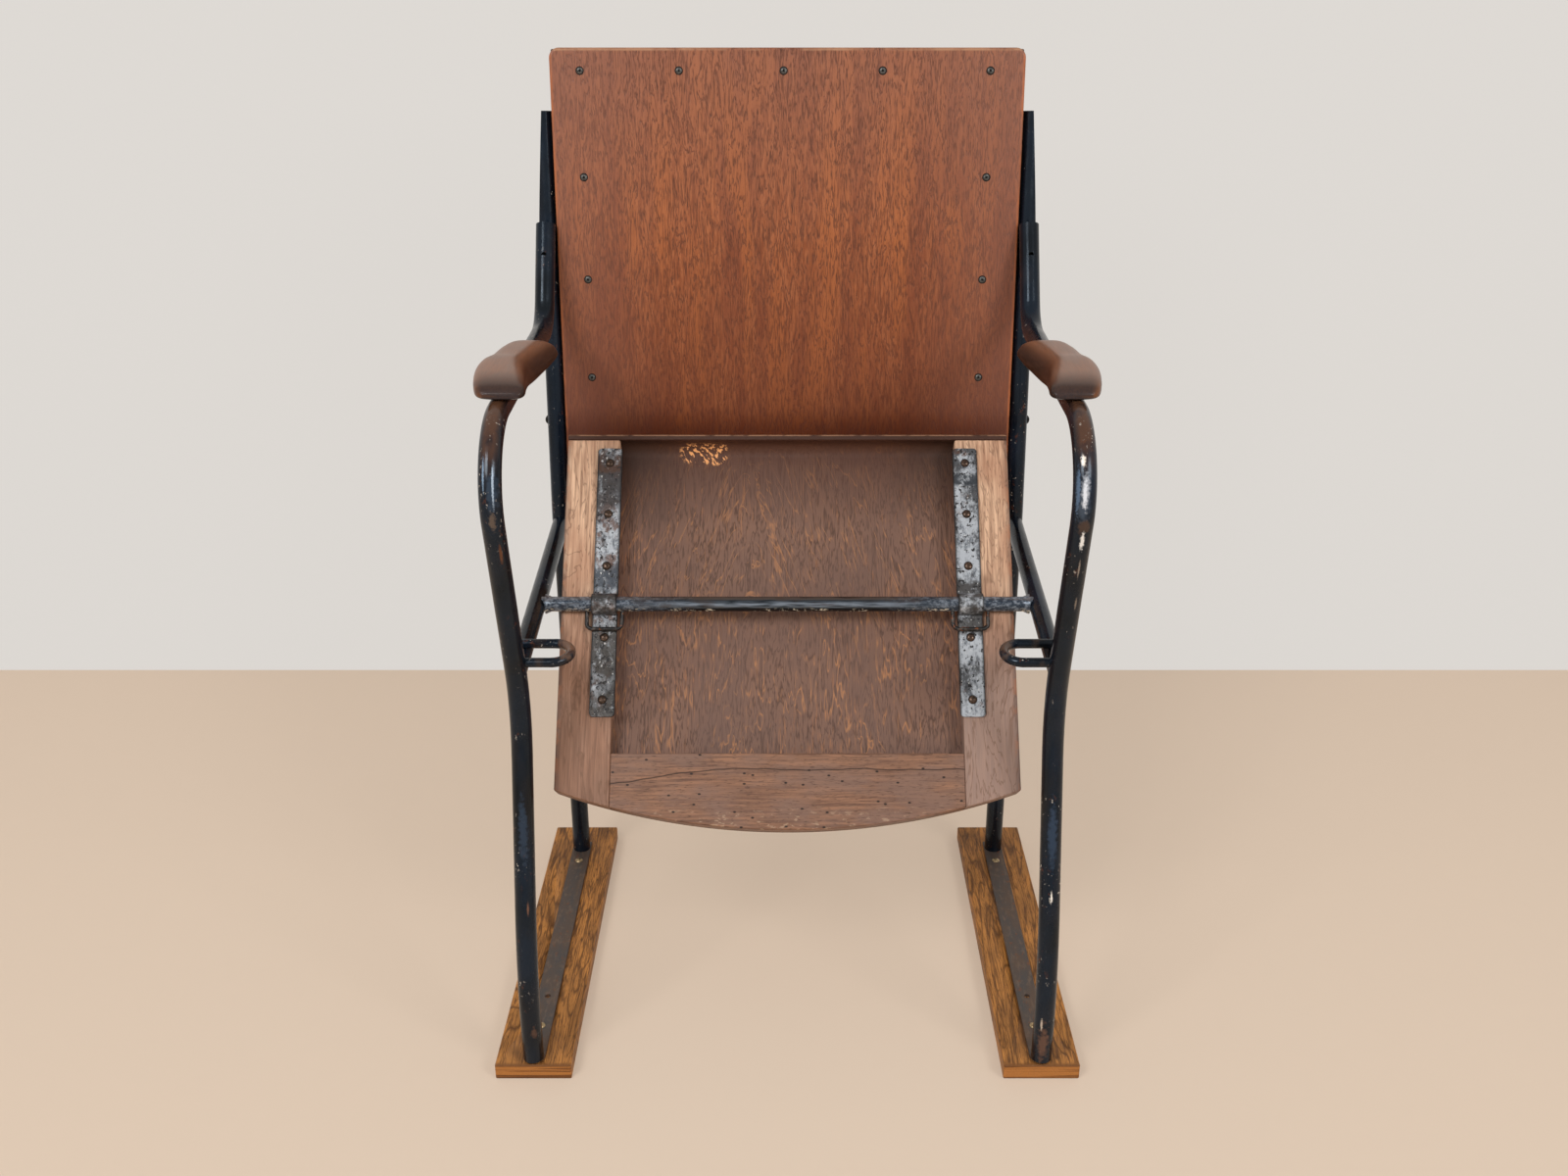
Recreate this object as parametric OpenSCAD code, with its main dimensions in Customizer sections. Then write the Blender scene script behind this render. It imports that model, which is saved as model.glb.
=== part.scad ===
// Tip-up chair: two bent tube side frames on wooden runners, a plywood back
// and a framed plywood seat that turns on a cross tube.
// X is across the chair, +Y to the rear, +Z up, with the floor at Z = 0.

/* [Runners and feet] */
// Length of each wooden runner, front to back
runner_l = 430; // [380:1:520]
// Width of each wooden runner
runner_w = 75; // [55:1:100]
// Thickness of each wooden runner
runner_t = 17; // [12:1:30]
// How far the runner reaches in front of the front tube's centre
runner_front = 9; // [0:1:40]
// Width of the steel strap that ties the two feet of a side
strap_w = 21.5; // [18:0.5:30]
// Thickness of that strap
strap_t = 3; // [2:0.5:6]
// Distance of the foot screws from the front tube's centre
foot_screw_y = [46, 342]; // [30:1:360]
// Distance of the spare floor hole from the front tube's centre
floor_hole_y = 92; // [70:1:160]
// Diameter of the spare floor holes
floor_hole_d = 6; // [4:0.5:10]

/* [Side frames] */
// Outer diameter of the leg, arm and rear post tubes
tube_d = 20; // [18:0.5:25]
// Wall of those tubes
tube_wall = 1.5; // [1:0.25:3]
// Height at which the front leg starts to lean back
ankle_h = 116; // [90:1:150]
// Height of the knee, the rearmost point of the front leg
knee_h = 370; // [350:1:390]
// How far back the knee lies
knee_y = 75; // [60:1:85]
// Height of the arm tube's centre at its front bend
arm_h = 653; // [630:1:690]
// Where the leg's upper line meets the arm's line, front to back
arm_front_y = -3; // [-15:1:10]
// Rise of the arm tube to the rear
arm_rise = 12; // [0:1:25]
// Where the arm tube turns up towards the rear post
arm_rear_y = 345; // [325:1:350]
// Slope of the arm tube's rear end, from level
arm_end_slope = 62; // [50:1:70]
// Height of the arm tube's rear end
arm_end_h = 761.5; // [740:0.5:790]
// Bend radius of the ankle
ankle_r = 500; // [300:10:600]
// Bend radius of the knee
knee_r = 170; // [120:5:200]
// Bend radius at the front of the arm
arm_front_r = 66; // [50:1:75]
// Bend radius at the rear of the arm
arm_rear_r = 45; // [40:1:80]
// Distance of the rear post's foot from the front tube's centre
post_foot_y = 370; // [350:1:385]
// Height at which the rear post's flattened top starts
post_flat_h = 745; // [700:5:820]
// Slope of that flat from upright
post_flat_angle = 4.1; // [0:0.1:6]
// Height of the bend in the rear post
post_bend_h = 450; // [440:1:470]
// Distance of that bend from the front tube's centre
post_bend_y = 376; // [370:1:385]
// Height of the rear post's top
post_top_h = 871; // [820:1:900]
// Recline of the upper rear post, from upright
post_recline = 7; // [5:0.1:8]
// Bend radius of the rear post
post_r = 300; // [150:10:400]

/* [Seat carriers] */
// Outer diameter of the seat rails
rail_d = 18; // [16:0.5:20]
// Height of the seat rail's centre where it meets the front leg
rail_front_h = 408.5; // [400:0.5:415]
// Slope of the seat rail, rising to the rear
rail_slope = 6.3; // [3:0.1:8]
// Outer diameter of the cross tube that the seat turns on
pivot_d = 15; // [12:0.5:18]
// Distance of the cross tube from the front tube's centre
pivot_y = 193; // [185:1:200]
// Diameter of the bent rod of the seat rests
rest_rod_d = 9; // [7:0.5:11]
// Distance between the two limbs of a seat rest
rest_pitch = 33; // [28:1:38]
// Distance of a seat rest's middle from the front tube's centre
rest_y = 81.5; // [80:0.5:90]
// Diameter of the wire of the tip stops
stop_wire_d = 4; // [3:0.5:5]
// Distance between the two limbs of a tip stop
stop_pitch = 35; // [32:1:40]
// How far a tip stop reaches from the cross tube's centre
stop_reach = 25; // [20:1:32]

/* [Armrests] */
// Distance of an armrest's front from the front tube's centre
armrest_front_y = 72; // [60:1:80]
// Length of an armrest
armrest_l = 164; // [130:1:180]
// Width of an armrest at its front paddle
armrest_w = 48; // [38:1:60]
// Height of the armrest's top above the arm tube's centre
armrest_rise = 26; // [20:1:32]

/* [Back] */
// Width of the back panel
back_w = 479; // [430:1:520]
// Gap between the back panel and the tubes of the side frames
back_side_gap = 0.5; // [0.3:0.1:20]
// Recline of the back panel, from upright
recline = 5.5; // [4:0.1:7]
// Height of the back panel, along its slope
back_h = 449; // [400:1:470]
// Thickness of the back panel
back_t = 8; // [5:0.5:12]
// Height of the back panel's lower edge
back_bottom_h = 486; // [475:1:510]
// Corner radius of the back panel
back_corner_r = 10; // [4:1:20]
// How far the panel's front face lies in front of the rear posts' centres
back_ahead = 8; // [4:0.5:14]
// Width of the wooden rails and stiles behind the panel
back_frame_w = 42; // [30:1:60]
// Thickness of those rails and stiles
back_frame_t = 20; // [14:1:26]
// Height of the bolts that hold the back to the rear posts
back_bolt_h = 554; // [530:1:600]

/* [Seat] */
// Width of the seat
seat_w = 454; // [420:1:500]
// Least gap between the seat and the tubes of the side frames
seat_side_gap = 13; // [10:0.5:30]
// Distance of the seat's front edge from its pivot
seat_front = 183.5; // [165:0.5:190]
// Distance of the seat's rear corners from its pivot
seat_rear = 185; // [175:1:195]
// How much the rear edge bulges beyond those corners
seat_bulge = 38; // [15:1:45]
// Thickness of the seat's plywood
ply_t = 6; // [5:0.5:12]
// Thickness of the stiles and of the rear rail below the plywood
stile_t = 20; // [16:0.5:26]
// Width of the seat's stiles
stile_w = 54; // [45:1:70]
// Where the rear rail starts, behind the pivot
rear_rail_y = 148.5; // [130:0.5:165]
// Inner radius of the rolled front lip
lip_r = 13; // [8:1:16]
// Angle between the level seat and its tipped position
tip_angle = 128.4; // [120:0.1:132]
// Width of the hinge straps
hinge_w = 25; // [20:1:30]
// Thickness of the hinge straps
hinge_t = 3; // [2:0.5:4]
// Distance of a hinge strap's middle from the seat's side edge
hinge_inset = 44.5; // [41:0.5:49]
// Length of a hinge strap in front of the pivot
hinge_front = 167; // [140:1:170]
// Length of a hinge strap behind the pivot
hinge_rear = 113; // [90:1:140]
// Running clearance of the hinge straps on the cross tube
hinge_gap = 0.08; // [0.02:0.01:0.1]

/* [Hidden] */
$fn = 64;

// Small clearances
air = 0.3;
shank_gap = 0.05;
// Overshoot of a cutting shape past the face that it cuts
cut = 1;

// Screws
foot_screw_d = 4.5;
foot_screw_head_d = 10;
hinge_screw_d = 4;
hinge_screw_head_d = 8.5;
panel_screw_d = 3.5;
panel_screw_head_d = 8;
armrest_screw_d = 4;
armrest_screw_head_d = 8;
bolt_d = 6;
bolt_head_d = 10;
bolt_head_h = 3;
rivet_d = 5;
rivet_head_d = 8;
rivet_head_h = 2;

// The side frames
side_x = max(back_w / 2 + back_side_gap, seat_w / 2 + seat_side_gap) + tube_d / 2;
frame_spacing = 2 * side_x;
foot_z = runner_t + strap_t;
tube_r = tube_d / 2;
rail_r = rail_d / 2;
pivot_r = pivot_d / 2;
function post_y(h) = post_bend_y + (h - post_bend_h) * tan(post_recline);
post_path = [[post_foot_y, foot_z], [post_bend_y, post_bend_h], [post_y(post_top_h), post_top_h]];
post_bends = [0, post_r, 0];
arm_rear_h = arm_h + arm_rise;
arm_end_y = arm_rear_y + (arm_end_h - arm_rear_h) / tan(arm_end_slope);
leg_path = [
    [0, foot_z], [0, ankle_h], [knee_y, knee_h], [arm_front_y, arm_h],
    [arm_rear_y, arm_rear_h], [arm_end_y, arm_end_h]
];
leg_bends = [0, ankle_r, knee_r, arm_front_r, arm_rear_r, 0];

// The seat rail's line, and the pivot on it
rail_front_y = 66;
function rail_h(y) = rail_front_h + (y - rail_front_y) * tan(rail_slope);
pivot_z = rail_h(pivot_y);

// The back's plane
back_y0 = post_y(back_bottom_h) - back_ahead / cos(recline);
// Places of the screws around the panel, as parts of its width and height; the columns are uneven
back_screw_columns = [-0.436, -0.228, -0.008, 0.200, 0.426];
back_screw_rows = [0.034, 0.262, 0.491, 0.721, 0.951];

// The seat, level, about the pivot: front towards -Y, top towards +Z
under_z = pivot_r + air;
ply_z = under_z + stile_t;
seat_top_z = ply_z + ply_t;
stile_front_y = -(seat_front - ply_t);
rear_arc_r = (pow(seat_w / 2, 2) + pow(seat_bulge, 2)) / (2 * seat_bulge);
seat_corner_r = 6;
hinge_x = seat_w / 2 - hinge_inset;
stile_inner_x = seat_w / 2 - stile_w;
hinge_screw_front = [151, 96, 41];
hinge_screw_rear = [33, 96];

// The whole part is moved so that its bounding box is centred over the origin
back_top_y = back_y0 + back_h * sin(recline) + (back_t + back_frame_t) * cos(recline);
rear_most_y = max(runner_l - runner_front, back_top_y);
mid_y = (rear_most_y - runner_front) / 2;
module placed() translate([0, -mid_y, 0]) children();

// Bent tubes: a path of [y, z] points with a bend radius at each
function unit(v) = v / norm(v);
function heading(p, i) = unit(p[i + 1] - p[i]);
function turn(p, i) =
    let (u = heading(p, i - 1), v = heading(p, i))
    atan2(u.x * v.y - u.y * v.x, u.x * v.x + u.y * v.y);
function reach(p, r, i) = (i == 0 || i == len(p) - 1) ? 0 : r[i] * tan(abs(turn(p, i)) / 2);

module straight(a, b, d, before, after) {
    translate([a.x, a.y, 0])
        rotate([0, 0, atan2(b.y - a.y, b.x - a.x)])
            rotate([0, 90, 0]) translate([0, 0, -before]) cylinder(h = norm(b - a) + before + after, d = d);
}

module bend(p, r, i, d) {
    u = heading(p, i - 1);
    v = heading(p, i);
    side = sign(turn(p, i));
    from = p[i] - u * reach(p, r, i);
    to = p[i] + v * reach(p, r, i);
    centre = from + side * r[i] * [-u.y, u.x];
    first = side > 0 ? from : to;
    translate([centre.x, centre.y, 0])
        rotate([0, 0, atan2(first.y - centre.y, first.x - centre.x)])
            rotate_extrude(angle = abs(turn(p, i))) translate([r[i], 0]) circle(d = d);
}

// Each bend is this much thicker than the straights, which run into it by the overlap
bend_swell = 0.1;
bend_overlap = 0.5;

// A bent rod, with its two ends cut back by trim
module bent_rod(p, r, d, trim = 0) {
    last = len(p) - 2;
    for (i = [0 : last])
        straight(p[i] + heading(p, i) * reach(p, r, i), p[i + 1] - heading(p, i) * reach(p, r, i + 1), d,
            i == 0 ? -trim : bend_overlap, i == last ? -trim : bend_overlap);
    for (i = [1 : last]) bend(p, r, i, d + bend_swell);
}

// A bent tube with both ends closed
module capped_tube(p, r) difference() {
    bent_rod(p, r, tube_d);
    bent_rod(p, r, tube_d - 2 * tube_wall, tube_wall);
}

// Turns a shape drawn in the plane of a side frame into that frame
module in_side(side) translate([side * side_x, 0, 0]) rotate([90, 0, 90]) children();

module arm_tube_envelope(side) in_side(side) bent_rod(leg_path, leg_bends, tube_d);

// A rod from point a to point b, with its ends cut square
module rod(a, b, d) {
    v = b - a;
    translate(a)
        rotate([0, acos(v.z / norm(v)), atan2(v.y, v.x)])
            cylinder(h = norm(v), d = d);
}

module post_envelope(side) in_side(side) bent_rod(post_path, post_bends, tube_d);

function rail_point(side, y) = [side * side_x, y, rail_h(y)];
module rail_envelope(side) rod(rail_point(side, rail_front_y), rail_point(side, post_bend_y), rail_d);

module cross_tube_envelope() translate([-side_x, pivot_y, pivot_z]) rotate([0, 90, 0])
    cylinder(h = frame_spacing, d = pivot_d);

// Runners and feet

module runner(side) color("#96703f") placed() {
    difference() {
        translate([side * side_x - runner_w / 2, -runner_front, 0]) cube([runner_w, runner_l, runner_t]);
        for (y = foot_screw_y)
            translate([side * side_x, y, foot_z - foot_screw_length])
                cylinder(h = foot_z, d = foot_screw_d + 2 * shank_gap);
        translate([side * side_x, floor_hole_y, -cut])
            cylinder(h = foot_z + cut, d = floor_hole_d);
    }
}
foot_screw_length = 16;

module runner_left() runner(-1);
module runner_right() runner(1);

module foot_strap(side) color("#3b3733") placed() {
    rear_end = post_foot_y + tube_r + strap_margin;
    difference() {
        union() {
            translate([side * side_x, strap_round_y, runner_t]) cylinder(h = strap_t, d = strap_w);
            translate([side * side_x - strap_w / 2, strap_round_y, runner_t])
                cube([strap_w, rear_end - strap_round_y, strap_t]);
        }
        for (y = foot_screw_y)
            translate([side * side_x, y, 0]) cylinder(h = foot_z + cut, d = foot_screw_d + 2 * shank_gap);
        translate([side * side_x, floor_hole_y, 0]) cylinder(h = foot_z + cut, d = floor_hole_d);
    }
}
strap_margin = 3;
strap_round_y = 5;

module foot_strap_left() foot_strap(-1);
module foot_strap_right() foot_strap(1);

// A domed screw whose head stands on Z = 0 and whose shank points down
module domed_screw(head_d, head_h, shank_d, length) {
    dome_r = (pow(head_d / 2, 2) + pow(head_h, 2)) / (2 * head_h);
    intersection() {
        translate([0, 0, head_h - dome_r]) sphere(r = dome_r);
        cylinder(h = head_h, d = head_d);
    }
    translate([0, 0, -length]) cylinder(h = length, d = shank_d);
}

module foot_screws() color("#a3803c") placed()
    for (side = [-1, 1], y = foot_screw_y)
        translate([side * side_x, y, foot_z])
            domed_screw(foot_screw_head_d, 2.5, foot_screw_d, foot_screw_length);

// Side frames

module arm_tube(side) color("#1d2024") placed() {
    difference() {
        in_side(side) capped_tube(leg_path, leg_bends);
        post_envelope(side);
        rivet_hole(side);
        for (y = armrest_screw_y) armrest_screw_hole(side, y);
    }
}

module arm_tube_left() arm_tube(-1);
module arm_tube_right() arm_tube(1);

// The post's top is beaten flat on its outer side, and solid there
post_bore_path = [post_path[0], post_path[1], [post_y(post_flat_h), post_flat_h]];
module post_flat(side) mirror([side < 0 ? 1 : 0, 0, 0])
    translate([side_x + tube_r, post_y(post_flat_h) - 2 * tube_d, post_flat_h]) rotate([0, -post_flat_angle, 0])
        cube([tube_d, 5 * tube_d, 2 * (post_top_h - post_flat_h)]);

module rear_post(side) color("#1b1f26") placed() {
    difference() {
        in_side(side) bent_rod(post_path, post_bends, tube_d);
        in_side(side) bent_rod(post_bore_path, post_bends, tube_d - 2 * tube_wall, tube_wall);
        post_flat(side);
        rivet_hole(side);
        bolt_hole(side);
    }
}

module rear_post_left() rear_post(-1);
module rear_post_right() rear_post(1);

module seat_rail(side) color("#1c1e22") placed() {
    wall = unit(rail_point(side, post_bend_y) - rail_point(side, rail_front_y));
    difference() {
        rail_envelope(side);
        rod(rail_point(side, rail_front_y) + wall * tube_r, rail_point(side, post_bend_y) - wall * tube_r,
            rail_d - 2 * tube_wall);
        arm_tube_envelope(side);
        post_envelope(side);
    }
}

module seat_rail_left() seat_rail(-1);
module seat_rail_right() seat_rail(1);

// A rod bent to a U that opens towards the side frame, in the plane of its limbs
module rest_loop() {
    half = rest_pitch / 2;
    for (s = [-1, 1])
        translate([-bend_overlap, s * half, 0]) rotate([0, 90, 0])
            cylinder(h = rest_limb + bend_overlap, d = rest_rod_d);
    rotate([0, 0, 90]) rotate_extrude(angle = 180) translate([half, 0]) circle(d = rest_rod_d + bend_swell);
}
// How far a welded rod is melted into the tube that carries it
weld_sink = 0.8;
// The inner end of a seat rest stays clear of the hinge strap when the seat is down
rest_tip_x = hinge_x + hinge_w / 2 + 1.5;
rest_bend_x = rest_tip_x + rest_rod_d / 2 + rest_pitch / 2;
rest_limb = side_x - rest_bend_x;

module seat_rest(side) color("#2a2622") placed() {
    lift = rail_r + rest_rod_d / 2 - weld_sink;
    difference() {
        translate([side * rest_bend_x, rest_y, rail_h(rest_y)])
            rotate([rail_slope, 0, 0]) translate([0, 0, lift])
                rotate([0, 0, side > 0 ? 0 : 180]) rest_loop();
        arm_tube_envelope(side);
        rail_envelope(side);
    }
}

module seat_rest_left() seat_rest(-1);
module seat_rest_right() seat_rest(1);

// Cross tube with its weld collars
weld_l = 6;
weld_r = 2.5;
module cross_tube() color("#23282e") placed() {
    difference() {
        union() {
            cross_tube_envelope();
            for (side = [-1, 1])
                translate([side * side_x, pivot_y, pivot_z]) rotate([0, -side * 90, 0])
                    translate([0, 0, rail_r]) cylinder(h = weld_l, r1 = pivot_r + weld_r, r2 = pivot_r);
        }
        translate([-side_x + rail_r + tube_wall, pivot_y, pivot_z]) rotate([0, 90, 0])
            cylinder(h = frame_spacing - rail_d - 2 * tube_wall, d = pivot_d - 2 * tube_wall);
        for (side = [-1, 1]) rail_envelope(side);
    }
}

// Places a shape drawn about the pivot, with the seat level, at the tipped position
module tipped() placed() translate([0, pivot_y, pivot_z]) rotate([-tip_angle, 0, 0]) children();

// A wire staple on the cross tube that the hinge strap's rear leaf comes to rest on
module tip_stop(side) color("#3c3a38") tipped() {
    stop_z = under_z - hinge_t - air - stop_wire_d / 2;
    half = stop_pitch / 2;
    difference() {
        translate([side * hinge_x, 0, stop_z]) {
            for (s = [-1, 1]) {
                translate([s * half, 0, 0]) rotate([-90, 0, 0])
                    cylinder(h = stop_reach - stop_bend_r, d = stop_wire_d);
                translate([s * (half - stop_bend_r), stop_reach - stop_bend_r, 0])
                    rotate([0, 0, s > 0 ? 0 : 90])
                        rotate_extrude(angle = 90) translate([stop_bend_r, 0]) circle(d = stop_wire_d);
            }
            translate([-half + stop_bend_r, stop_reach, 0]) rotate([0, 90, 0])
                cylinder(h = stop_pitch - 2 * stop_bend_r, d = stop_wire_d);
        }
        translate([-side_x, 0, 0]) rotate([0, 90, 0]) cylinder(h = frame_spacing, d = pivot_d);
    }
}
stop_bend_r = 6;

module tip_stop_left() tip_stop(-1);
module tip_stop_right() tip_stop(1);

// Armrests: a carved paddle that sits astride the arm tube

// One cross-section: distance from the front, as a part of the length; outer edge, inner top edge
// and inner lower edge from the tube's centre, as parts of the width; top and underside above the
// tube's centre, as parts of the rise
armrest_sections = [
    [0.00, 0.25, -0.42, -0.42, 0.67, 0.48],
    [0.02, 0.34, -0.47, -0.47, 0.79, 0.42],
    [0.06, 0.42, -0.50, -0.50, 0.90, 0.37],
    [0.16, 0.50, -0.44, -0.48, 0.98, 0.31],
    [0.35, 0.59, -0.28, -0.46, 1.00, 0.12],
    [0.51, 0.58, -0.17, -0.50, 0.98, -0.02],
    [0.63, 0.48, -0.19, -0.56, 0.91, -0.02],
    [0.82, 0.41, -0.31, -0.67, 0.85, 0.02],
    [0.95, 0.28, -0.42, -0.72, 0.79, 0.10],
    [1.00, 0.06, -0.50, -0.65, 0.62, 0.19]
];
arm_slope = atan2(arm_rise, arm_rear_y - arm_front_y);
function arm_z(y) = arm_h + (y - arm_front_y) * tan(arm_slope);

// The sections are joined by a smooth loft, with this many steps between two of them
armrest_steps = 2;
// Points around a section, and how square its corners are (1 is an ellipse)
armrest_ring = 20;
armrest_squareness = 0.55;
function blend(a, b, c, d, t) =
    b + t * (c - a) / 2 + t * t * (a - 2.5 * b + 2 * c - d / 2) + t * t * t * (3 * (b - c) + d - a) / 2;
armrest_stations = [
    for (i = [0 : len(armrest_sections) - 2], k = [0 : armrest_steps - 1])
        blend(armrest_sections[max(i - 1, 0)], armrest_sections[i], armrest_sections[i + 1],
            armrest_sections[min(i + 2, len(armrest_sections) - 1)], k / armrest_steps),
    armrest_sections[len(armrest_sections) - 1]
];
function squared(v) = sign(v) * pow(abs(v), armrest_squareness);
function armrest_point(s, a) = let (
    out = (1 + squared(cos(a))) / 2,
    up = (1 + squared(sin(a))) / 2,
    inner = s[3] + (s[2] - s[3]) * up
) [
    side_x + armrest_w * (inner + (s[1] - inner) * out),
    armrest_front_y + s[0] * armrest_l,
    arm_z(armrest_front_y + s[0] * armrest_l) + armrest_rise * (s[5] + (s[4] - s[5]) * up)
];

module armrest_body() {
    n = armrest_ring;
    last = len(armrest_stations) - 1;
    polyhedron(
        points = [for (s = armrest_stations, k = [0 : n - 1]) armrest_point(s, (k + 0.5) * 360 / n)],
        faces = concat(
            [for (k = [1 : n - 2]) [0, k + 1, k]],
            [for (i = [0 : last - 1], k = [0 : n - 1])
                [i * n + k, i * n + (k + 1) % n, (i + 1) * n + k]],
            [for (i = [0 : last - 1], k = [0 : n - 1])
                [i * n + (k + 1) % n, (i + 1) * n + (k + 1) % n, (i + 1) * n + k]],
            [for (k = [1 : n - 2]) [last * n, last * n + k, last * n + k + 1]]
        )
    );
}

module armrest(side) color("#6d4a33") placed() {
    difference() {
        mirror([side < 0 ? 1 : 0, 0, 0]) armrest_body();
        arm_tube_envelope(side);
        for (y = armrest_screw_y) armrest_screw_hole(side, y);
    }
}
armrest_screw_y = [armrest_front_y + armrest_l / 4, armrest_front_y + armrest_l * 0.8];
armrest_screw_bite = 8;

module armrest_screw_hole(side, y)
    translate([side * side_x, y, arm_z(y) - tube_r - cut])
        cylinder(h = tube_d + armrest_screw_bite + cut, d = armrest_screw_d + 2 * shank_gap);

module armrest_left() armrest(-1);
module armrest_right() armrest(1);

// Wood screws from below, through the arm tube into the armrest
armrest_screw_drop = armrest_screw_head_d / 2 * tan(arm_slope) + air;
module armrest_screws() color("#55504a") placed()
    for (side = [-1, 1], y = armrest_screw_y)
        translate([side * side_x, y, arm_z(y) - tube_r - armrest_screw_drop]) mirror([0, 0, 1])
            domed_screw(armrest_screw_head_d, 2, armrest_screw_d, tube_d + armrest_screw_bite - 1);

// The rivet that pins the arm tube's end to the rear post
rivet_drop = 26;
rivet_h = arm_end_h - rivet_drop;
rivet_setback = rivet_head_d / 2 * tan(post_recline) + air;
module rivet_hole(side)
    translate([side * side_x, post_y(rivet_h) - 2 * tube_d, rivet_h]) rotate([-90, 0, 0])
        cylinder(h = 4 * tube_d, d = rivet_d + 2 * shank_gap);

module arm_rivets() color("#4b4640") placed()
    for (side = [-1, 1])
        translate([side * side_x, post_y(rivet_h) + tube_r + rivet_setback, rivet_h]) rotate([-90, 0, 0]) {
            cylinder(h = rivet_head_h, d = rivet_head_d);
            translate([0, 0, -2 * tube_d]) cylinder(h = 2 * tube_d + cut, d = rivet_d);
        }

// Back

// Places a shape drawn on the back's plane: x across, y up the slope, z to the rear
module on_back() placed() translate([0, back_y0, back_bottom_h]) rotate([90 - recline, 0, 0])
    mirror([0, 0, 1]) children();

module rounded_plate(w, h, t, r) {
    linear_extrude(t) union() {
        translate([-w / 2 + r, 0]) square([w - 2 * r, h]);
        translate([-w / 2, r]) square([w, h - 2 * r]);
        for (x = [-w / 2 + r, w / 2 - r], y = [r, h - r]) translate([x, y]) circle(r = r);
    }
}

// The screws stand around the edge: columns along the top and bottom, rows along the sides
function on_edge(i, j) = i == 0 || i == len(back_screw_columns) - 1 || j == 0 || j == len(back_screw_rows) - 1;
module at_back_screws() {
    for (i = [0 : len(back_screw_columns) - 1], j = [0 : len(back_screw_rows) - 1])
        if (on_edge(i, j)) translate([back_screw_columns[i] * back_w, back_screw_rows[j] * back_h, 0]) children();
}

back_screw_l = 20;
module back_screw_holes() at_back_screws()
    translate([0, 0, -cut]) cylinder(h = back_screw_l + cut, d = panel_screw_d + 2 * shank_gap);

module back_panel() color("#7d3f22") on_back() difference() {
    rounded_plate(back_w, back_h, back_t, back_corner_r);
    back_screw_holes();
}

// The frame stands a little inside the panel's edge
frame_inset = 1;
frame_outer_x = back_w / 2 - frame_inset;
rail_half = frame_outer_x - back_frame_w;

module back_rail(y) color("#6b4a30") on_back() difference() {
    translate([-rail_half, y, back_t]) cube([2 * rail_half, back_frame_w, back_frame_t]);
    back_screw_holes();
}
module back_top_rail() back_rail(back_h - frame_inset - back_frame_w);
module back_bottom_rail() back_rail(frame_inset);

module back_stile(side) color("#6b4a30") difference() {
    on_back() difference() {
        translate([side > 0 ? rail_half : -frame_outer_x, frame_inset, back_t])
            cube([back_frame_w, back_h - 2 * frame_inset, back_frame_t]);
        back_screw_holes();
    }
    placed() bolt_hole(side);
}
module back_stile_left() back_stile(-1);
module back_stile_right() back_stile(1);

module back_panel_screws() color("#3a332d") on_back() at_back_screws()
    mirror([0, 0, 1]) domed_screw(panel_screw_head_d, 2, panel_screw_d, back_screw_l - 1);

// Coach bolts through the rear posts into the back's stiles
bolt_setback = 2.7;
bolt_y = post_y(back_bolt_h) + bolt_setback;
bolt_bite = back_frame_w / 2;
bolt_l = side_x + tube_r - frame_outer_x + bolt_bite;
module bolt_hole(side)
    translate([side * (side_x + tube_r + cut), bolt_y, back_bolt_h]) rotate([0, -side * 90, 0])
        cylinder(h = bolt_l + cut, d = bolt_d + 2 * shank_gap);

module back_bolts() color("#35312d") placed()
    for (side = [-1, 1])
        translate([side * (side_x + tube_r), bolt_y, back_bolt_h]) rotate([0, side * 90, 0])
            domed_screw(bolt_head_d, bolt_head_h, bolt_d, bolt_l - 1);

// Seat

// The seat's outline from above, with its bowed rear edge and rounded rear corners
module seat_outline(front, inset = 0) {
    half = seat_w / 2 - inset;
    intersection() {
        translate([-half, front]) square([2 * half, seat_rear + seat_bulge - front]);
        translate([0, seat_rear + seat_bulge - rear_arc_r - inset]) circle(r = rear_arc_r, $fn = 180);
    }
}

module hinge_screw_holes(side)
    for (y = concat(-hinge_screw_front, hinge_screw_rear))
        translate([side * hinge_x, y, 0])
            cylinder(h = ply_z - 2, d = hinge_screw_d + 2 * shank_gap);

// Plywood with its front edge rolled down over the ends of the stiles
module seat_panel() color("#5b3c27") tipped() difference() {
    outer_r = lip_r + ply_t;
    bend_y = -seat_front + outer_r;
    bend_z = seat_top_z - outer_r;
    union() {
        translate([0, 0, ply_z]) linear_extrude(ply_t) seat_outline(bend_y);
        translate([-seat_w / 2, bend_y, bend_z]) rotate([90, 0, 90]) rotate([0, 0, 90])
            linear_extrude(seat_w) difference() {
                intersection() {
                    circle(r = outer_r);
                    square(outer_r);
                }
                circle(r = lip_r);
            }
        translate([-seat_w / 2, -seat_front, under_z]) cube([seat_w, ply_t, bend_z - under_z]);
    }
    seat_panel_screw_holes();
}

// Where the stiles and the rail are rounded to fit into the rolled lip
module lip_round(width) {
    bend_y = stile_front_y + lip_r;
    bend_z = ply_z - lip_r;
    translate([0, bend_y, bend_z]) rotate([90, 0, 90]) linear_extrude(width) difference() {
        translate([-lip_r - cut, 0]) square([lip_r + cut, lip_r + cut]);
        circle(r = lip_r);
    }
}

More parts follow.
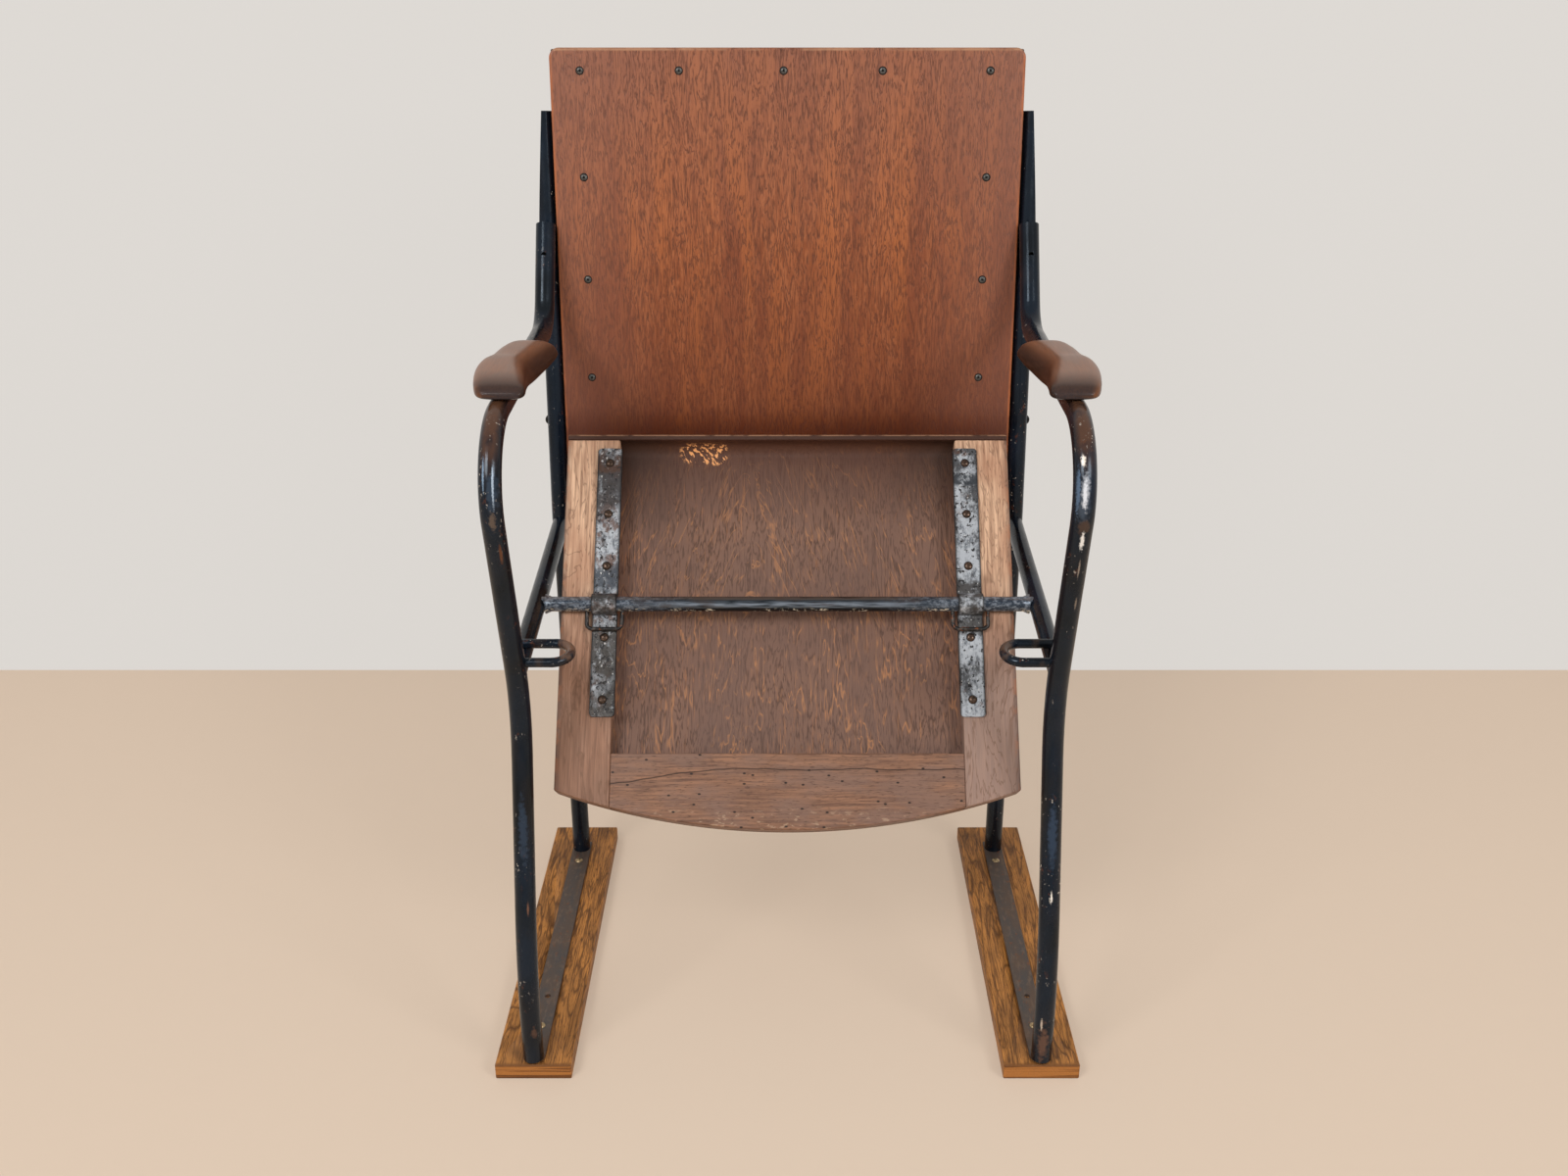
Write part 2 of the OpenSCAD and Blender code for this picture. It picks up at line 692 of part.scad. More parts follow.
module seat_stile(side) color("#8a6a50") tipped() difference() {
    intersection() {
        translate([0, 0, under_z]) linear_extrude(stile_t) seat_outline(stile_front_y);
        translate([side > 0 ? stile_inner_x : -seat_w / 2, stile_front_y, 0])
            cube([stile_w, seat_front + seat_rear + seat_bulge, seat_top_z]);
    }
    translate([side > 0 ? stile_inner_x - cut : -seat_w / 2 - cut, 0, 0]) lip_round(stile_w + 2 * cut);
    hinge_screw_holes(side);
    seat_panel_screw_holes();
}
module seat_stile_left() seat_stile(-1);
module seat_stile_right() seat_stile(1);

module seat_rear_rail() color("#674634") tipped() difference() {
    intersection() {
        translate([0, 0, under_z]) linear_extrude(stile_t) seat_outline(rear_rail_y);
        translate([-stile_inner_x, rear_rail_y, 0])
            cube([2 * stile_inner_x, seat_rear + seat_bulge, seat_top_z]);
    }
    seat_panel_screw_holes();
}

// Screws through the plywood's top into the stiles and the rear rail
panel_screw_inset = 14;
seat_panel_screw_xy = [
    for (s = [-1, 1], y = [-0.63 * seat_front, 0, 0.58 * seat_rear]) [s * (seat_w / 2 - panel_screw_inset), y],
    for (x = [-0.65, 0, 0.65]) [x * stile_inner_x, seat_rear]
];
seat_screw_l = 22;
module seat_panel_screw_holes()
    for (p = seat_panel_screw_xy)
        translate([p.x, p.y, seat_top_z - seat_screw_l])
            cylinder(h = seat_screw_l + cut, d = panel_screw_d + 2 * shank_gap);
module seat_panel_screws() color("#6b5b45") tipped()
    for (p = seat_panel_screw_xy)
        translate([p.x, p.y, seat_top_z]) domed_screw(panel_screw_head_d, 1.5, panel_screw_d, seat_screw_l - 1);

// A flat bar that saddles the cross tube
module hinge_strap(side) color("#5c6068") tipped() {
    bore_r = pivot_r + hinge_gap;
    hump_r = bore_r + hinge_t;
    difference() {
        union() {
            translate([side * hinge_x - hinge_w / 2, -hinge_front, under_z - hinge_t])
                cube([hinge_w, hinge_front + hinge_rear, hinge_t]);
            translate([side * hinge_x - hinge_w / 2, 0, 0]) rotate([0, 90, 0]) cylinder(h = hinge_w, r = hump_r);
        }
        translate([side * hinge_x - hinge_w, 0, 0]) rotate([0, 90, 0]) cylinder(h = 2 * hinge_w, r = bore_r);
        translate([side * hinge_x - hinge_w, -bore_r, 0]) cube([2 * hinge_w, 2 * bore_r, 2 * hump_r]);
        translate([side * hinge_x - hinge_w, -2 * hump_r, under_z]) cube([2 * hinge_w, 4 * hump_r, hump_r]);
        hinge_screw_holes(side);
    }
}
module hinge_strap_left() hinge_strap(-1);
module hinge_strap_right() hinge_strap(1);

module hinge_screws() color("#4d453d") tipped()
    for (side = [-1, 1], y = concat(-hinge_screw_front, hinge_screw_rear))
        translate([side * hinge_x, y, under_z - hinge_t]) mirror([0, 0, 1])
            domed_screw(hinge_screw_head_d, 2, hinge_screw_d, ply_z - 3 - under_z + hinge_t);

runner_left();
runner_right();
foot_strap_left();
foot_strap_right();
foot_screws();
arm_tube_left();
arm_tube_right();
rear_post_left();
rear_post_right();
seat_rail_left();
seat_rail_right();
seat_rest_left();
seat_rest_right();
cross_tube();
tip_stop_left();
tip_stop_right();
armrest_left();
armrest_right();
armrest_screws();
arm_rivets();
back_panel();
back_top_rail();
back_bottom_rail();
back_stile_left();
back_stile_right();
back_panel_screws();
back_bolts();
seat_panel();
seat_stile_left();
seat_stile_right();
seat_rear_rail();
hinge_strap_left();
hinge_strap_right();
hinge_screws();
seat_panel_screws();
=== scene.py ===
# Looks of the tip-up chair: wood, enamel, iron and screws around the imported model.
# Shapes are in metres, with +Z up and +Y towards the chair's rear. The calls that place a pattern
# or a spot in a material give millimetres.
import math
import random

import bmesh
import bpy
from mathutils import Matrix, Vector


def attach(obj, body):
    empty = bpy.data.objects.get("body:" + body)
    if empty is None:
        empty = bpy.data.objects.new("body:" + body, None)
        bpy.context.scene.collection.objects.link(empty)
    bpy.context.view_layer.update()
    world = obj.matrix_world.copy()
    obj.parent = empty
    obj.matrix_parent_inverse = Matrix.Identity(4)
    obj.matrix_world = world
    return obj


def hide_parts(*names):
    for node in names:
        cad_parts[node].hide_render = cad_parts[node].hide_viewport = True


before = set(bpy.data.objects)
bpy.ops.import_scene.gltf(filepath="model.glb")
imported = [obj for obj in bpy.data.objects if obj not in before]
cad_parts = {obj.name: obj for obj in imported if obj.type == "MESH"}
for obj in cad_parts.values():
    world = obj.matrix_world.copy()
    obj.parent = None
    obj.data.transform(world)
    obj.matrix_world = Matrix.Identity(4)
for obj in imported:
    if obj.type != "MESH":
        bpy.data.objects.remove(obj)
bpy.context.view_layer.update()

bl_info = {
    "name": "Tip-up chair looks",
    "version": (1, 0, 0),
    "blender": (4, 5, 0),
    "location": "View3D > Sidebar > Chair",
    "description": "Builds the visible pieces and finishes of a tip-up chair",
    "category": "Object",
}

MM = 0.001
SIDES = {"left": -1, "right": 1}

# Distance from the front feet to the middle of the whole chair, where y is 0
MIDDLE_Y = 217.1445 * MM

# The side frames: how far they stand from the middle, the arm tube's radius, and the start and
# slope of its arm behind and above the front feet
SIDE_X = 250 * MM
TUBE_R = 10 * MM
ARM_FRONT_Y, ARM_FRONT_Z = -3 * MM, 653 * MM
ARM_SLOPE = 12 / 348

# The seat's pivot, and how far its parts are turned up at rest from level
PIVOT = Vector((0, -24.1445 * MM, 422.521 * MM))
TIP = math.radians(128.4)
TIP_TURN = Matrix.Rotation(-TIP, 4, "X")

# The seat, level, about its pivot: half its width, its reach to the front and rear, how much
# further the middle of its bowed rear edge reaches, and the heights and widths of its boards
SEAT_HALF = 227 * MM
SEAT_FRONT = 183.5 * MM
SEAT_REAR = 185 * MM
SEAT_BULGE = 38 * MM
UNDER_Z = 7.8 * MM
STILE_T = 20 * MM
STILE_W = 54 * MM
PLY_T = 6 * MM
PLY_Z = UNDER_Z + STILE_T
LIP_R = 13 * MM
REAR_RAIL_Y = 148.5 * MM
# Its screws: along the sides, and along the rear as parts of the way from the middle to a stile
PLY_SCREW_INSET = 14 * MM
PLY_SCREW_Y = (-0.63 * SEAT_FRONT, 0, 0.58 * SEAT_REAR)
PLY_SCREW_X = (-0.65, 0, 0.65)

# Hinge straps: their ends and screws in front of and behind the pivot
HINGE_X = 182.5 * MM
HINGE_W = 25 * MM
HINGE_T = 3 * MM
HINGE_FRONT = 167 * MM
HINGE_REAR = 113 * MM
HINGE_BORE_R = 7.58 * MM
HINGE_SCREWS = (-151 * MM, -96 * MM, -41 * MM, 33 * MM, 96 * MM)

# The back, on its own plane: x across, y up the slope, z to the rear
BACK_Y, BACK_Z = 155.2385 * MM, 486 * MM
RECLINE = math.radians(5.5)
BACK_W, BACK_H, BACK_T = 479 * MM, 449 * MM, 8 * MM
BACK_CORNER = 10 * MM
BACK_FRAME_W, BACK_FRAME_T = 42 * MM, 20 * MM
BACK_FRAME_INSET = 1 * MM
# Places of its screws, as parts of its width and height
BACK_SCREW_COLUMNS = (-0.436, -0.228, -0.008, 0.200, 0.426)
BACK_SCREW_ROWS = (0.034, 0.262, 0.491, 0.721, 0.951)

# Runners: RUNNER_FRONT is how far they reach in front of the feet, STRAP_TOP the height of the foot
# straps, and the rest is behind the front feet
RUNNER_W, RUNNER_T, RUNNER_L = 75 * MM, 17 * MM, 430 * MM
RUNNER_FRONT = 9 * MM
STRAP_TOP = 20 * MM
FLOOR_HOLE_Y, FLOOR_HOLE_R = 92 * MM, 3 * MM
FOOT_SCREW_Y = (46 * MM, 342 * MM)

# Armrests: ARMREST_FRONT is behind the front feet, and the screws' places are parts of the length
ARMREST_FRONT = 72 * MM
ARMREST_L = 164 * MM
ARMREST_W = 48 * MM
ARMREST_RISE = 26 * MM
ARMREST_SQUARENESS = 0.55
ARMREST_SCREW_Y = (0.25, 0.8)
# One row per carved section: distance from the front as a part of the length; outer edge, inner top
# edge and inner lower edge as parts of the width; top and underside as parts of the rise
ARMREST_SECTIONS = (
    (0.00, 0.25, -0.42, -0.42, 0.67, 0.48), (0.02, 0.34, -0.47, -0.47, 0.79, 0.42),
    (0.06, 0.42, -0.50, -0.50, 0.90, 0.37), (0.16, 0.50, -0.44, -0.48, 0.98, 0.31),
    (0.35, 0.59, -0.28, -0.46, 1.00, 0.12), (0.51, 0.58, -0.17, -0.50, 0.98, -0.02),
    (0.63, 0.48, -0.19, -0.56, 0.91, -0.02), (0.82, 0.41, -0.31, -0.67, 0.85, 0.02),
    (0.95, 0.28, -0.42, -0.72, 0.79, 0.10), (1.00, 0.06, -0.50, -0.65, 0.62, 0.19),
)

# Screws: how finely heads, rings and sockets are cut, the thickness of the dark discs of painted
# shade under the heads and in the sockets, in millimetres, and the seed of how the heads are turned
HEAD_SIDES, HEAD_ROWS = 24, 12
RING_SIDES, SOCKET_SIDES = 28, 20
SHADE_DISC_T = 0.3
SCREW_SEED = 7

# How finely curves are cut
CORNER_STEPS = 8
BEND_STEPS = 12
SEAT_STEPS = 48
STILE_STEPS = 10
RAIL_STEPS = 32
HUMP_STEPS = 20
BORE_STEPS = 16
STRAP_STEPS = 5
HOLE_STEPS = 24
CARVED_STEPS = 5
CARVED_POINTS = 40

# The view: the photograph's width, focal length and middle line in pixels, and the camera's place
PICTURE_W = 1600
FOCAL_PX = 1500
MIDDLE_PX = 803.5
SENSOR = 36
CAMERA_Y = -1149 * MM - MIDDLE_Y
CAMERA_Z = 1017 * MM
CAMERA_PITCH = math.radians(23.268)

# The studio: the reach of floor and backdrop, the backdrop's place, how evenly lit each looks, each
# lamp's place, width and power, the point that the lamps face, and the light from all around
ROOM_HALF = 6.0
WALL_Y = 677 * MM
FLOOR_GLOW, WALL_GLOW = 0.45, 0.9
LAMPS = {"key": ((-1.2, -1.7, 2.0), 0.9, 30), "fill": ((1.4, -1.5, 1.6), 0.7, 17)}
LAMP_AIM = Vector((0, 0, 0.45))
WORLD_LIGHT = 0.55


def linear(hex_colour):
    """A colour written as sRGB hex, as linear red, green, blue and alpha."""
    parts = [int(hex_colour[i:i + 2], 16) / 255 for i in (1, 3, 5)]
    return [p / 12.92 if p <= 0.04045 else ((p + 0.055) / 1.055) ** 2.4 for p in parts] + [1.0]


# ---------------------------------------------------------------- settings


def colour(name, description, value):
    """A colour that a user can change, with its default as sRGB hex."""
    return bpy.props.FloatVectorProperty(
        name=name, description=description, subtype="COLOR", size=4,
        min=0.0, max=1.0, default=linear(value))


def length(name, description, value):
    """A length in metres that a user can change."""
    return bpy.props.FloatProperty(
        name=name, description=description, subtype="DISTANCE", unit="LENGTH",
        min=0.0, default=value)


class ChairColours(bpy.types.PropertyGroup):
    """The main colour of each finish"""
    enamel: colour("Enamel", "Black enamel of the steel tubes", "#08090c")
    enamel_worn: colour("Worn enamel", "Enamel worn thin to a brown sheen", "#3d2d22")
    chip: colour("Chip", "Bare bright steel where the enamel has chipped", "#b9ada0")
    rust: colour("Rust", "Rust where the enamel is gone", "#7d431c")
    iron: colour("Iron", "Blue-grey scale of the hinge straps", "#565b62")
    iron_bright: colour("Bright iron", "Iron rubbed bright", "#b4b8bd")
    iron_dark: colour("Dark iron", "Pits and dirt in the iron", "#232122")
    iron_rust: colour("Iron rust", "Rust bloom on the hinge straps", "#5d3c29")
    foot_iron: colour("Foot iron", "Browned iron of the foot straps", "#5a473a")
    back_light: colour("Back, light", "Lighter fibres of the back veneer", "#ad6841")
    back_mid: colour("Back, middle", "Ground of the back veneer", "#8a4c2c")
    back_dark: colour("Back, dark", "Pores and darker fibres of the back veneer", "#5c3220")
    seat_light: colour("Seat, light", "Pale figure of the seat's plywood", "#aa7650")
    seat_mid: colour("Seat, middle", "Ground of the seat's plywood", "#7c5c4c")
    seat_dark: colour("Seat, dark", "Stain in the pores of the seat's plywood", "#442d23")
    stile_light: colour("Stile, light", "Worn beech of the seat's stiles", "#deb696")
    stile_dark: colour("Stile, dark", "Darker beech of the seat's stiles", "#a17c67")
    rail_light: colour("Rail, light", "Lighter grain of the seat's rear rail", "#946b52")
    rail_dark: colour("Rail, dark", "Darker grain of the seat's rear rail", "#67493a")
    arm_top: colour("Armrest, top", "Hand-worn top of the armrests", "#875b42")
    arm_side: colour("Armrest, side", "Stained inner sides of the armrests", "#4f2610")
    # the nose's darkness is partly old polish, partly painted shade
    arm_nose_and_shade: colour("Armrest, nose", "Dark polished nose of the armrests", "#34241f")
    oak_light: colour("Oak, light", "Light grain of the runners", "#bd7f40")
    oak_dark: colour("Oak, dark", "Dark grain of the runners", "#5b381b")
    floor: colour("Floor", "The studio floor", "#dec9b4")
    wall: colour("Backdrop", "The studio backdrop", "#dedad5")


class ChairSizes(bpy.types.PropertyGroup):
    """The rounding of edges and corners"""
    wood_edge: length("Wood edge", "Rounding of the wooden edges", 1.6 * MM)
    carved_edge: length("Carved edge", "Rounding of the armrests' ends", 1.5 * MM)
    back_edge: length("Back edge", "Rounding of the back panel's edges", 2.5 * MM)
    iron_edge: length("Iron edge", "Rounding of the hinge straps' edges", 0.7 * MM)
    iron_corner: length("Iron corner", "Rounding of the hinge straps' corners", 4 * MM)


def colours():
    """The chosen colours."""
    return bpy.context.scene.chair_colours


def sizes():
    """The chosen sizes."""
    return bpy.context.scene.chair_sizes


# ---------------------------------------------------------------- materials


# Sockets of the Mix node that share their names, by their numbers
MIX_AMOUNT, MIX_UNDER, MIX_OVER, MIX_RESULT = 0, 6, 7, 2
# How much of each relief shows, and the tint of the enamel's shine
RELIEF = 0.6
BLUISH_SHINE = (0.72, 0.86, 1.0, 1.0)


def add(tree, kind, inputs=None, out=0, **settings):
    """Adds a node: settings are its properties, inputs its sockets' values or the outputs that feed
    them."""
    made = tree.nodes.new(kind)
    for name, value in settings.items():
        setattr(made, name, value)
    for key, value in (inputs or {}).items():
        if isinstance(value, bpy.types.NodeSocket):
            tree.links.new(value, made.inputs[key])
        else:
            made.inputs[key].default_value = value
    return made.outputs[out] if made.outputs else made


def new_finish(name, **values):
    """A new material whose shader has the given values, and its Object coordinates."""
    made = bpy.data.materials.new(name)
    made.use_nodes = True
    tree = made.node_tree
    tree.nodes.clear()
    shader = add(tree, "ShaderNodeBsdfPrincipled", {
        key.replace("_", " ").title().replace("Ior", "IOR"): value
        for key, value in values.items()}).node
    add(tree, "ShaderNodeOutputMaterial", {"Surface": shader.outputs[0]})
    return made, add(tree, "ShaderNodeTexCoord", out="Object")


def grown(place, size, shift=0.0, detail=3.0, rough=0.55, bend=0.0):
    """A pattern from 0 to 1 whose features measure size millimetres along x, y and z; another shift
    takes another part of it."""
    tree = place.id_data
    scaled = add(tree, "ShaderNodeMapping", {
        "Vector": place, "Scale": [1 / (s * MM) for s in size],
        "Location": (shift, 1.7 * shift, -shift)})
    return add(tree, "ShaderNodeTexNoise", {
        "Vector": scaled, "Scale": 1.0, "Detail": detail, "Roughness": rough, "Distortion": bend})


def patches(place, size, low, high, most=1.0, **pattern):
    """Places where the pattern rises from low, where there is nothing, to high, where it is at its
    most."""
    return add(place.id_data, "ShaderNodeMapRange", {
        "Value": grown(place, size, **pattern), "From Min": low, "From Max": high, "To Max": most})


def lines(place, size, width, most=1.0, every=0.5, **pattern):
    """Thin wavy lines: the contours of the pattern at multiples of a step of its height."""
    tree = place.id_data
    away = add(tree, "ShaderNodeMath", {0: grown(place, size, **pattern), 1: every / 2},
               operation="PINGPONG")
    return add(tree, "ShaderNodeMapRange", {
        "Value": away, "From Min": width, "From Max": 0.0, "To Max": most})


def along(place, axis, start, end, most=1.0):
    """How far a point is on its way from start to end millimetres on one axis."""
    tree = place.id_data
    return add(tree, "ShaderNodeMapRange", {
        "Value": add(tree, "ShaderNodeSeparateXYZ", {0: place}, out=axis),
        "From Min": start * MM, "From Max": end * MM, "To Max": most})


def beside(place, middle, start, end, most=1.0):
    """How far a point is on its way from start to end millimetres away from the lines that lie
    middle metres left and right."""
    tree = place.id_data
    x = add(tree, "ShaderNodeSeparateXYZ", {0: place})
    across = add(tree, "ShaderNodeMath", {0: x}, operation="ABSOLUTE")
    off = add(tree, "ShaderNodeMath", {0: across, 1: middle}, operation="SUBTRACT")
    return add(tree, "ShaderNodeMapRange", {
        "Value": add(tree, "ShaderNodeMath", {0: off}, operation="ABSOLUTE"),
        "From Min": start * MM, "From Max": end * MM, "To Max": most})


def spot(place, centre, radii, edge=0.5, ragged=0.0):
    """A spot of the given radii in millimetres around a centre, with a ragged edge."""
    tree = place.id_data
    around = add(tree, "ShaderNodeMapping", {
        "Vector": place, "Scale": [1 / (r * MM) for r in radii],
        "Location": [-c / r for c, r in zip(centre, radii)]})
    far = add(tree, "ShaderNodeVectorMath", {0: around}, out="Value", operation="LENGTH")
    if ragged:
        torn = grown(place, (min(radii) * 0.8,) * 3, detail=2)
        far = add(tree, "ShaderNodeMath", {0: torn, 1: ragged, 2: far}, operation="MULTIPLY_ADD")
    rim = 1.0 + ragged / 2
    return add(tree, "ShaderNodeMapRange", {"Value": far, "From Min": rim, "From Max": rim - edge})


def together(*amounts):
    """How much of all the given amounts holds at once."""
    amount = amounts[0]
    for other in amounts[1:]:
        amount = add(amount.id_data, "ShaderNodeMath", {0: amount, 1: other}, operation="MULTIPLY")
    return amount


def painted(ground, *layers):
    """The ground colour under layers of (how much, colour). A colour is sRGB hex, a setting or a
    node's output."""
    for amount, over in layers:
        ground, over = [linear(tone) if isinstance(tone, str) else tone for tone in (ground, over)]
        ground = add(amount.id_data, "ShaderNodeMix", {
            MIX_AMOUNT: amount, MIX_UNDER: ground, MIX_OVER: over},
            out=MIX_RESULT, data_type="RGBA")
    return ground


def surfaced(made, skin, height, depth, rough=None):
    """The material with its colour, its relief of depth millimetres and, where it isn't the same
    all over, its roughness as (pattern, at 0, at 1)."""
    tree = made.node_tree
    shader = tree.nodes["Principled BSDF"].inputs
    tree.links.new(skin, shader["Base Color"])
    tree.links.new(add(tree, "ShaderNodeBump", {
        "Height": height, "Distance": depth * MM, "Strength": RELIEF}), shader["Normal"])
    if rough:
        pattern, low, high = rough
        tree.links.new(add(tree, "ShaderNodeMapRange", {
            "Value": pattern, "To Min": low, "To Max": high}), shader["Roughness"])
    return made


def black_enamel(name="stoved_black_enamel", brown=0.06, chips=0.5, handled_sheen=False, spots=()):
    """Black enamel baked on drawn steel tube: it gives a soft blue-black gloss, worn brown by hands
    and sleeves in patches, with small bright and rusty chips."""
    made, place = new_finish(name, roughness=0.2, specular_ior_level=0.34,
                             specular_tint=BLUISH_SHINE)
    tree = made.node_tree
    c = colours()
    cloud = patches(place, (50, 50, 80), 0.35, 0.65)
    worn = patches(place, (20, 20, 60), 0.5, 0.66, brown, detail=4, shift=3)
    skin = painted(c.enamel, (cloud, "#111a26"), (worn, c.enamel_worn))
    if handled_sheen:
        # a brown stripe on the upper side of the tube, where hands hold it below the armrests: worn
        # enamel, kept to the middle of the tube's front as a painted sheen
        skin = painted(skin, (together(
            along(place, "Z", 615, 640), along(place, "Y", -80, -110), beside(place, SIDE_X, 9, 4),
            patches(place, (20, 20, 60), 0.25, 0.5, shift=5)), "#503525"))
    # rust blooms of about 6 mm, in groups
    group = patches(place, (40, 40, 40), 0.52, 0.66, shift=8)
    rusty = together(group, patches(place, (5, 5, 8), 0.62, 0.68, 0.4, shift=1))
    # chips of 1 to 3 mm down to bright steel
    whole = 0.74 - 0.08 * chips
    chip = together(group, patches(place, (2.6, 2.6, 4.5), whole - 0.02, whole, shift=6, detail=2))
    skin = painted(skin, (rusty, c.rust), (chip, c.chip))
    for centre, radii, over in spots:
        skin = painted(skin, (spot(place, centre, radii, ragged=1.5), over))
    height = add(tree, "ShaderNodeMath", {0: grown(place, (5, 5, 9)), 1: chip},
                 operation="SUBTRACT")
    dull = patches(place, (10, 10, 20), 0.3, 0.7, shift=2)
    return surfaced(made, skin, height, 0.12, (dull, 0.13, 0.3))


# Worn places and painted highlights on the arm tubes: middle and half sizes in millimetres, colour
ARM_TUBE_WEAR_AND_HIGHLIGHTS = (
    # the right tube's bend: a long painted grey and blue highlight, steel worn bright, and brown
    # around it
    ((248, -209, 598), (6, 12, 22), "#3b4450"),
    ((243, -207, 610), (1.8, 12, 28), "#54677e"),
    ((250, -209, 574), (6, 12, 8), "#453329"),
    ((249, -207, 608), (4, 9, 20), "#9a9da3"),
    ((247, -198, 630), (2.6, 9, 5), "#efe2d3"),
    ((248.5, -206, 603), (2.2, 9, 15), "#d6d8dc"),
    ((250, -206, 560), (2.3, 9, 11), "#e6e1da"),
    ((251, -197, 532), (1, 8, 12), "#84766a"),
    ((253, -187, 494), (1.2, 8, 8), "#75675a"),
    # the left tube's bend: a painted blue-grey highlight and a rusty chip below it
    ((-247, -205, 604), (6, 12, 22), "#2d3744"),
    ((-254, -205, 626), (1.1, 10, 26), "#8196ac"),
    ((-246, -207, 614), (1.1, 10, 26), "#a3b1c0"),
    ((-248, -208, 580), (3.5, 10, 10), "#594a3f"),
    ((-245, -201, 546), (1.5, 9, 13), "#62391f"),
    # both legs: a dull painted highlight half way down, chips, and brown scuffs near the foot
    ((-246, -204, 186), (1.2, 9, 8), "#6d4a38"),
    ((-249, -186, 265), (5, 12, 75), "#29323f"),
    ((250, -186, 255), (5, 12, 65), "#2b3646"),
    ((250, -202, 197), (1.2, 9, 7), "#e8dfd2"),
    ((249, -226, 44), (6, 9, 24), "#5d4133"),
    ((246, -227, 66), (1.2, 9, 8), "#b9a795"),
    ((-246, -226, 56), (3, 9, 8), "#4f3629"),
)
# Worn places on the seat rests, in the same columns: the rods are browned where they bend
REST_SPOTS = (
    ((-202, -131, 428), (14, 22, 12), "#735543"),
    ((203, -131, 428), (10, 20, 12), "#594539"),
)


def leg_enamel():
    """The same enamel on the arm tubes, brown from hands with a painted sheen near the armrests,
    worn in many places, and with painted highlights at the bends and half way down the legs.
    """
    return black_enamel("handled_black_enamel", 0.12, 0.7, True, ARM_TUBE_WEAR_AND_HIGHLIGHTS)


def rod_enamel():
    """Thin enamel on bent rod, mostly rubbed off: a brown skin with rusty edges."""
    return black_enamel("rubbed_black_enamel", 0.8, 0.6, spots=REST_SPOTS)


def cross_enamel():
    """The same enamel on the cross tube, scraped by the hinge straps: grey scale and chips in rows,
    with a painted highlight band on its upper front and a painted reflection along its top. The
    tube's middle is 422.5 mm above the floor."""
    made, place = new_finish("scraped_black_enamel", roughness=0.2, specular_ior_level=0.45,
                             specular_tint=BLUISH_SHINE)
    c = colours()
    # a painted highlight band across the tube's upper front
    front = together(along(place, "Z", 421, 424), along(place, "Z", 428.5, 426, 0.75),
                     patches(place, (30, 2, 2), 0.36, 0.56, shift=8))
    near_straps = beside(place, 0, 90, 170)
    scale = patches(place, (5, 3, 3), 0.46, 0.62, 0.75, detail=5, rough=0.7)
    # a painted reflection in a thin line along the top of the tube
    top = together(along(place, "Z", 428.2, 429.4),
                   patches(place, (30, 4, 4), 0.35, 0.5, 0.3, shift=6))
    low = along(place, "Z", 421.5, 419.5)
    chip = together(patches(place, (40, 30, 30), 0.5, 0.55, shift=7), low,
                    patches(place, (4, 2, 2), 0.56, 0.6, shift=4))
    skin = painted(c.enamel, (front, "#828a94"), (near_straps, "#2c333d"),
                   (together(near_straps, scale), "#868c95"), (top, "#7c6a5e"),
                   (patches(place, (30, 6, 6), 0.55, 0.68, 0.5, shift=2), c.enamel_worn),
                   (chip, "#d8cdb8"))
    return surfaced(made, skin, grown(place, (3, 2, 2), detail=4), 0.3)


# Dark smears across each hinge strap: their place along it and half length in millimetres, colour
LEFT_SMEARS = ((-128, 44, "#403b3a"), (-150, 12, "#51382b"), (-28, 20, "#3f444c"),
               (45, 40, "#3f3a35"), (104, 28, "#3b3631"))
RIGHT_SMEARS = ((-133, 9, "#2f3338"), (-18, 11, "#433f3d"), (22, 12, "#4b4846"))


def pitted_iron(name, bright, rusty, shift, smears):
    """Flat iron, hot-rolled and long rusted: blue-grey scale with pale rubbed clouds, dark pits and
    brown rust that make it look broken up and rough, with a painted contact shadow as a dark
    outline along its edges."""
    made, place = new_finish(name, roughness=0.42, metallic=0.3)
    tree = made.node_tree
    c = colours()
    own = seat_plane(place)
    pale = patches(own, (7, 12, 7), 0.44 - bright, 0.58 - bright,
                   detail=7, rough=0.78, shift=1 + shift)
    dark = patches(own, (20, 34, 20), 0.5, 0.4, 0.85, detail=6, rough=0.7, shift=5 + shift)
    rust = patches(own, (12, 14, 12), 0.58 - rusty, 0.68 - rusty, 0.8,
                   detail=6, rough=0.7, shift=9 + shift)
    pits = patches(own, (3.4, 4, 3.4), 0.4, 0.37, detail=3, shift=3 + shift)
    specks = patches(own, (2.2, 4, 2.2), 0.66, 0.7, 0.85, detail=3, shift=7 + shift)
    uneven = patches(own, (7, 11, 7), 0.33, 0.47, 0.95, detail=6, rough=0.78, shift=2 + shift)
    skin = painted(c.iron, (pale, c.iron_bright), (dark, c.iron_dark), (rust, c.iron_rust))
    for y, long, over in smears:
        smear = together(spot(own, (0, y, 5), (400, long, 40), 0.4, 1.2), uneven)
        skin = painted(skin, (smear, over))
    # the hump over the cross tube is darker in patches; the strap's edges get a dark outline that
    # is a painted contact shadow
    hump = together(along(own, "Z", 2.5, 0.5), patches(own, (9, 9, 9), 0.4, 0.55, 0.9, shift=6))
    edge = beside(own, HINGE_X, 10.2, 12.2, 0.95)
    skin = painted(skin, (specks, "#d6d4d0"), (pits, c.iron_dark), (hump, "#3b3836"),
                   (edge, "#1d1a19"))
    height = add(tree, "ShaderNodeMath", {0: grown(own, (4, 4, 4), detail=4, shift=2), 1: pits},
                 operation="SUBTRACT")
    return surfaced(made, skin, height, 0.5, (pale, 0.5, 0.32))


